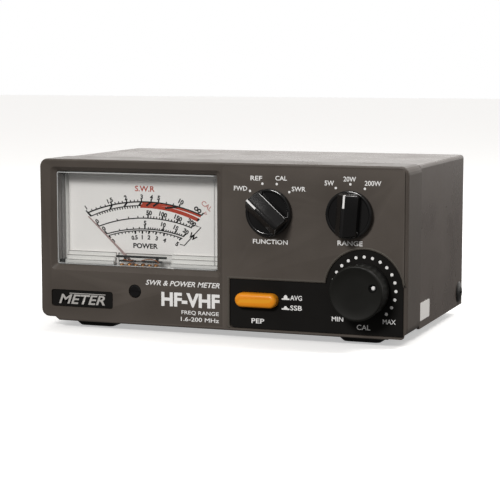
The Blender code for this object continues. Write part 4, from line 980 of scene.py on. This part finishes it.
def build_socket(name, x):
    """A coaxial socket: square flange with its four holes, and a threaded barrel with a notched rim."""
    z = SOCKET_Z

    def flange(bm):
        half = 12.7
        outline = rounded_rectangle(x - half, z - half, x + half, z + half, 1.5, 5)
        add_prism(bm, outline, FLANGE_FRONT_Y, FLANGE_BACK_Y)

    def holes(bm):
        for dx, dz in FLANGE_HOLES:
            add_turned(bm, [(0.0, 92.0), (1.6, 92.0), (1.6, 98.0), (0.0, 98.0)], (x + dx, z + dz), 28)
        add_turned(bm, [(0.0, 92.0), (6.2, 92.0), (6.2, 98.0), (0.0, 98.0)], (x, z), 64)

    def barrel(bm):
        profile = [(4.3, 88.0), (6.5, 88.0), (6.5, 94.0), (7.4, 94.0), (7.4, 96.6)]
        along = 96.6
        while along < 108.0:
            profile += [(7.45, along), (7.9, along + 0.42), (7.9, along + 0.6), (7.45, along + 1.0)]
            along += 1.06
        profile += [(7.5, 108.5), (7.3, 109.0), (6.2, 109.0), (6.0, 108.7), (6.0, 97.0), (4.3, 97.0)]
        add_turned(bm, profile, (x, z), 72)

    def notches(bm):
        for angle in (45, -45, -135, -225):
            add_turned(bm, [(0.0, 108.0), (0.55, 108.0), (0.55, 110.0), (0.0, 110.0)],
                       clock((x, z), 6.8, angle), 12)

    plate = shape(f"{name}_flange", flange, NICKEL)
    bevel(plate, 0.25, 3)
    apply_modifiers(plate)
    cut(plate, holes)
    tube = shape(f"{name}_barrel", barrel, NICKEL)
    cut(tube, notches)
    place(merged(f"{name}_connector_finished", [plate, tube]), "case", f"{name}_connector")


def build_flange_screws():
    """The cross-head screws that hold the sockets' flanges."""
    spots = [(x + dx, SOCKET_Z + dz) for x in (TX_X, ANTENNA_X) for dx, dz in FLANGE_HOLES]

    def screws(bm):
        profile = [(0.0, 97.4), (1.0, 97.3), (2.0, 96.9), (2.6, 96.3), (2.7, 95.75),
                   (1.4, FLANGE_BACK_Y), (1.4, FLANGE_FRONT_Y), (0.0, FLANGE_FRONT_Y)]
        for spot in spots:
            add_turned(bm, profile, spot, 32)

    def crosses(bm):
        for x, z in spots:
            add_box(bm, (x - 1.3, 96.7, z - 0.25), (x + 1.3, 98.0, z + 0.25))
            add_box(bm, (x - 0.25, 96.7, z - 1.3), (x + 0.25, 98.0, z + 1.3))

    heads = shape("flange_screws", screws, STEEL)
    cut(heads, crosses)
    place(heads)


def rear_black(bm):
    for words, spot in (("TX", (TX_X, 52.0)), ("ANT", (ANTENNA_X, 52.0)), ("DC 12V", (58.0, 26.0))):
        add_label(bm, words, spot, 2.8, REAR_PRINT_Y, bold=PANEL_BOLD, faces_rear=True)


# ---------------------------------------------------------------- camera, light and floor


def smooth_range(nodes, from_min, from_max, to_min, to_max):
    made = nodes.new("ShaderNodeMapRange")
    made.interpolation_type = "SMOOTHSTEP"
    made.inputs["From Min"].default_value = from_min
    made.inputs["From Max"].default_value = from_max
    made.inputs["To Min"].default_value = to_min
    made.inputs["To Max"].default_value = to_max
    return made


def area(name, spot, aim, width, height, power, tint=(1.0, 1.0, 1.0)):
    lamp = bpy.data.lights.new(name, "AREA")
    lamp.shape = "RECTANGLE"
    lamp.size, lamp.size_y = width, height
    lamp.energy = power
    lamp.color = tint
    made = linked(name, lamp)
    made.location = spot
    made.rotation_euler = (Vector(aim) - Vector(spot)).to_track_quat("-Z", "Y").to_euler()


def build_floor():
    floor_mesh = bmesh.new()
    bmesh.ops.create_grid(floor_mesh, x_segments=1, y_segments=1, size=4.0)
    pale = bpy.data.materials.new("pale_floor")
    pale.use_nodes = True
    shader = pale.node_tree.nodes["Principled BSDF"]
    shader.inputs["Base Color"].default_value = (0.86, 0.86, 0.855, 1.0)
    shader.inputs["Roughness"].default_value = 0.9
    shader.inputs["Specular IOR Level"].default_value = 0.1
    shader.inputs["Emission Color"].default_value = (1.0, 1.0, 1.0, 1.0)
    shader.inputs["Emission Strength"].default_value = FLOOR_EMISSION
    floor = from_bmesh("floor", floor_mesh, pale)
    # the floor's bounce is left to the studio's own lower half, which is dimmer
    floor.visible_diffuse = False
    floor.visible_glossy = False


def build_studio():
    """Soft light all round, brighter from the rear, with three lamps. The camera itself sees plain white."""
    world = bpy.data.worlds.new("studio")
    bpy.context.scene.world = world
    world.use_nodes = True
    nodes, links = world.node_tree.nodes, world.node_tree.links
    around = nodes["Background"]
    where = nodes.new("ShaderNodeTexCoord")
    split = nodes.new("ShaderNodeSeparateXYZ")
    links.new(where.outputs["Generated"], split.inputs["Vector"])
    rear = smooth_range(nodes, -0.15, 0.55, FRONT_GLOW, REAR_GLOW)
    links.new(split.outputs["Y"], rear.inputs["Value"])
    low = smooth_range(nodes, -0.10, 0.02, 0.0, 1.0)
    links.new(split.outputs["Z"], low.inputs["Value"])
    glow = nodes.new("ShaderNodeMix")
    glow.data_type = "FLOAT"
    glow.inputs["A"].default_value = FLOOR_GLOW
    links.new(low.outputs["Result"], glow.inputs["Factor"])
    links.new(rear.outputs["Result"], glow.inputs["B"])
    around.inputs["Color"].default_value = (1.0, 0.975, 0.95, 1.0)
    links.new(glow.outputs["Result"], around.inputs["Strength"])
    behind = nodes.new("ShaderNodeBackground")
    behind.inputs["Color"].default_value = (1.0, 1.0, 1.0, 1.0)
    rays = nodes.new("ShaderNodeLightPath")
    pick = nodes.new("ShaderNodeMixShader")
    links.new(rays.outputs["Is Camera Ray"], pick.inputs["Fac"])
    links.new(around.outputs["Background"], pick.inputs[1])
    links.new(behind.outputs["Background"], pick.inputs[2])
    links.new(pick.outputs["Shader"], nodes["World Output"].inputs["Surface"])

    area("key", (-0.08, -0.92, 0.54), (0.0, 0.0, 0.03), 0.26, 0.20, 6.4, (1.0, 0.98, 0.955))
    area("overhead", (0.50, 0.16, 0.78), (0.0, 0.0, 0.04), 0.24, 0.34, 4.2, (1.0, 0.98, 0.96))
    area("rear", (-0.25, 0.75, 0.45), (0.0, 0.0, 0.06), 0.7, 0.3, 1.0)


def build_camera():
    camera = bpy.data.cameras.new("camera")
    camera.sensor_width = 36.0
    camera.lens = CAMERA_LENS
    camera.clip_start = 0.05
    camera.clip_end = 20.0
    made = linked("camera", camera)
    made.location = point(*CAMERA_AT)
    a, e = math.radians(CAMERA_AZIMUTH_DEG), math.radians(CAMERA_ELEVATION_DEG)
    back = Vector((math.sin(a) * math.cos(e), -math.cos(a) * math.cos(e), math.sin(e)))
    made.rotation_mode = "QUATERNION"
    made.rotation_quaternion = (-back).to_track_quat("-Z", "Y")
    bpy.context.scene.camera = made
    bpy.context.scene.view_settings.view_transform = "Standard"


# ---------------------------------------------------------------- build

dress_frame()
printed("dial_marks_black", dial_black, INK_AND_SHADE_BLACK)
printed("dial_marks_red", dial_red, RED_INK)
printed("dial_marks_pale_red", dial_pale_red, PALE_RED_INK)
printed("panel_legends", panel_white, WHITE_INK)
printed("inlay_legends", inlay_white, WHITE_INK)
printed("meter_side_legends", meter_side_white, WHITE_INK)
build_bar_knob("function_knob", "function_control", FUNCTION_AT, FUNCTION_REST_DEG)
build_bar_knob("range_knob", "range_control", RANGE_AT, RANGE_REST_DEG)
build_cal_knob()
build_button()
build_button_spring()
build_meter_details()
build_bridge()
build_trim()
build_socket("tx", TX_X)
build_socket("antenna", ANTENNA_X)
build_flange_screws()
printed("rear_legends", rear_black, INK_AND_SHADE_BLACK, faces_rear=True)
build_floor()
build_studio()
build_camera()
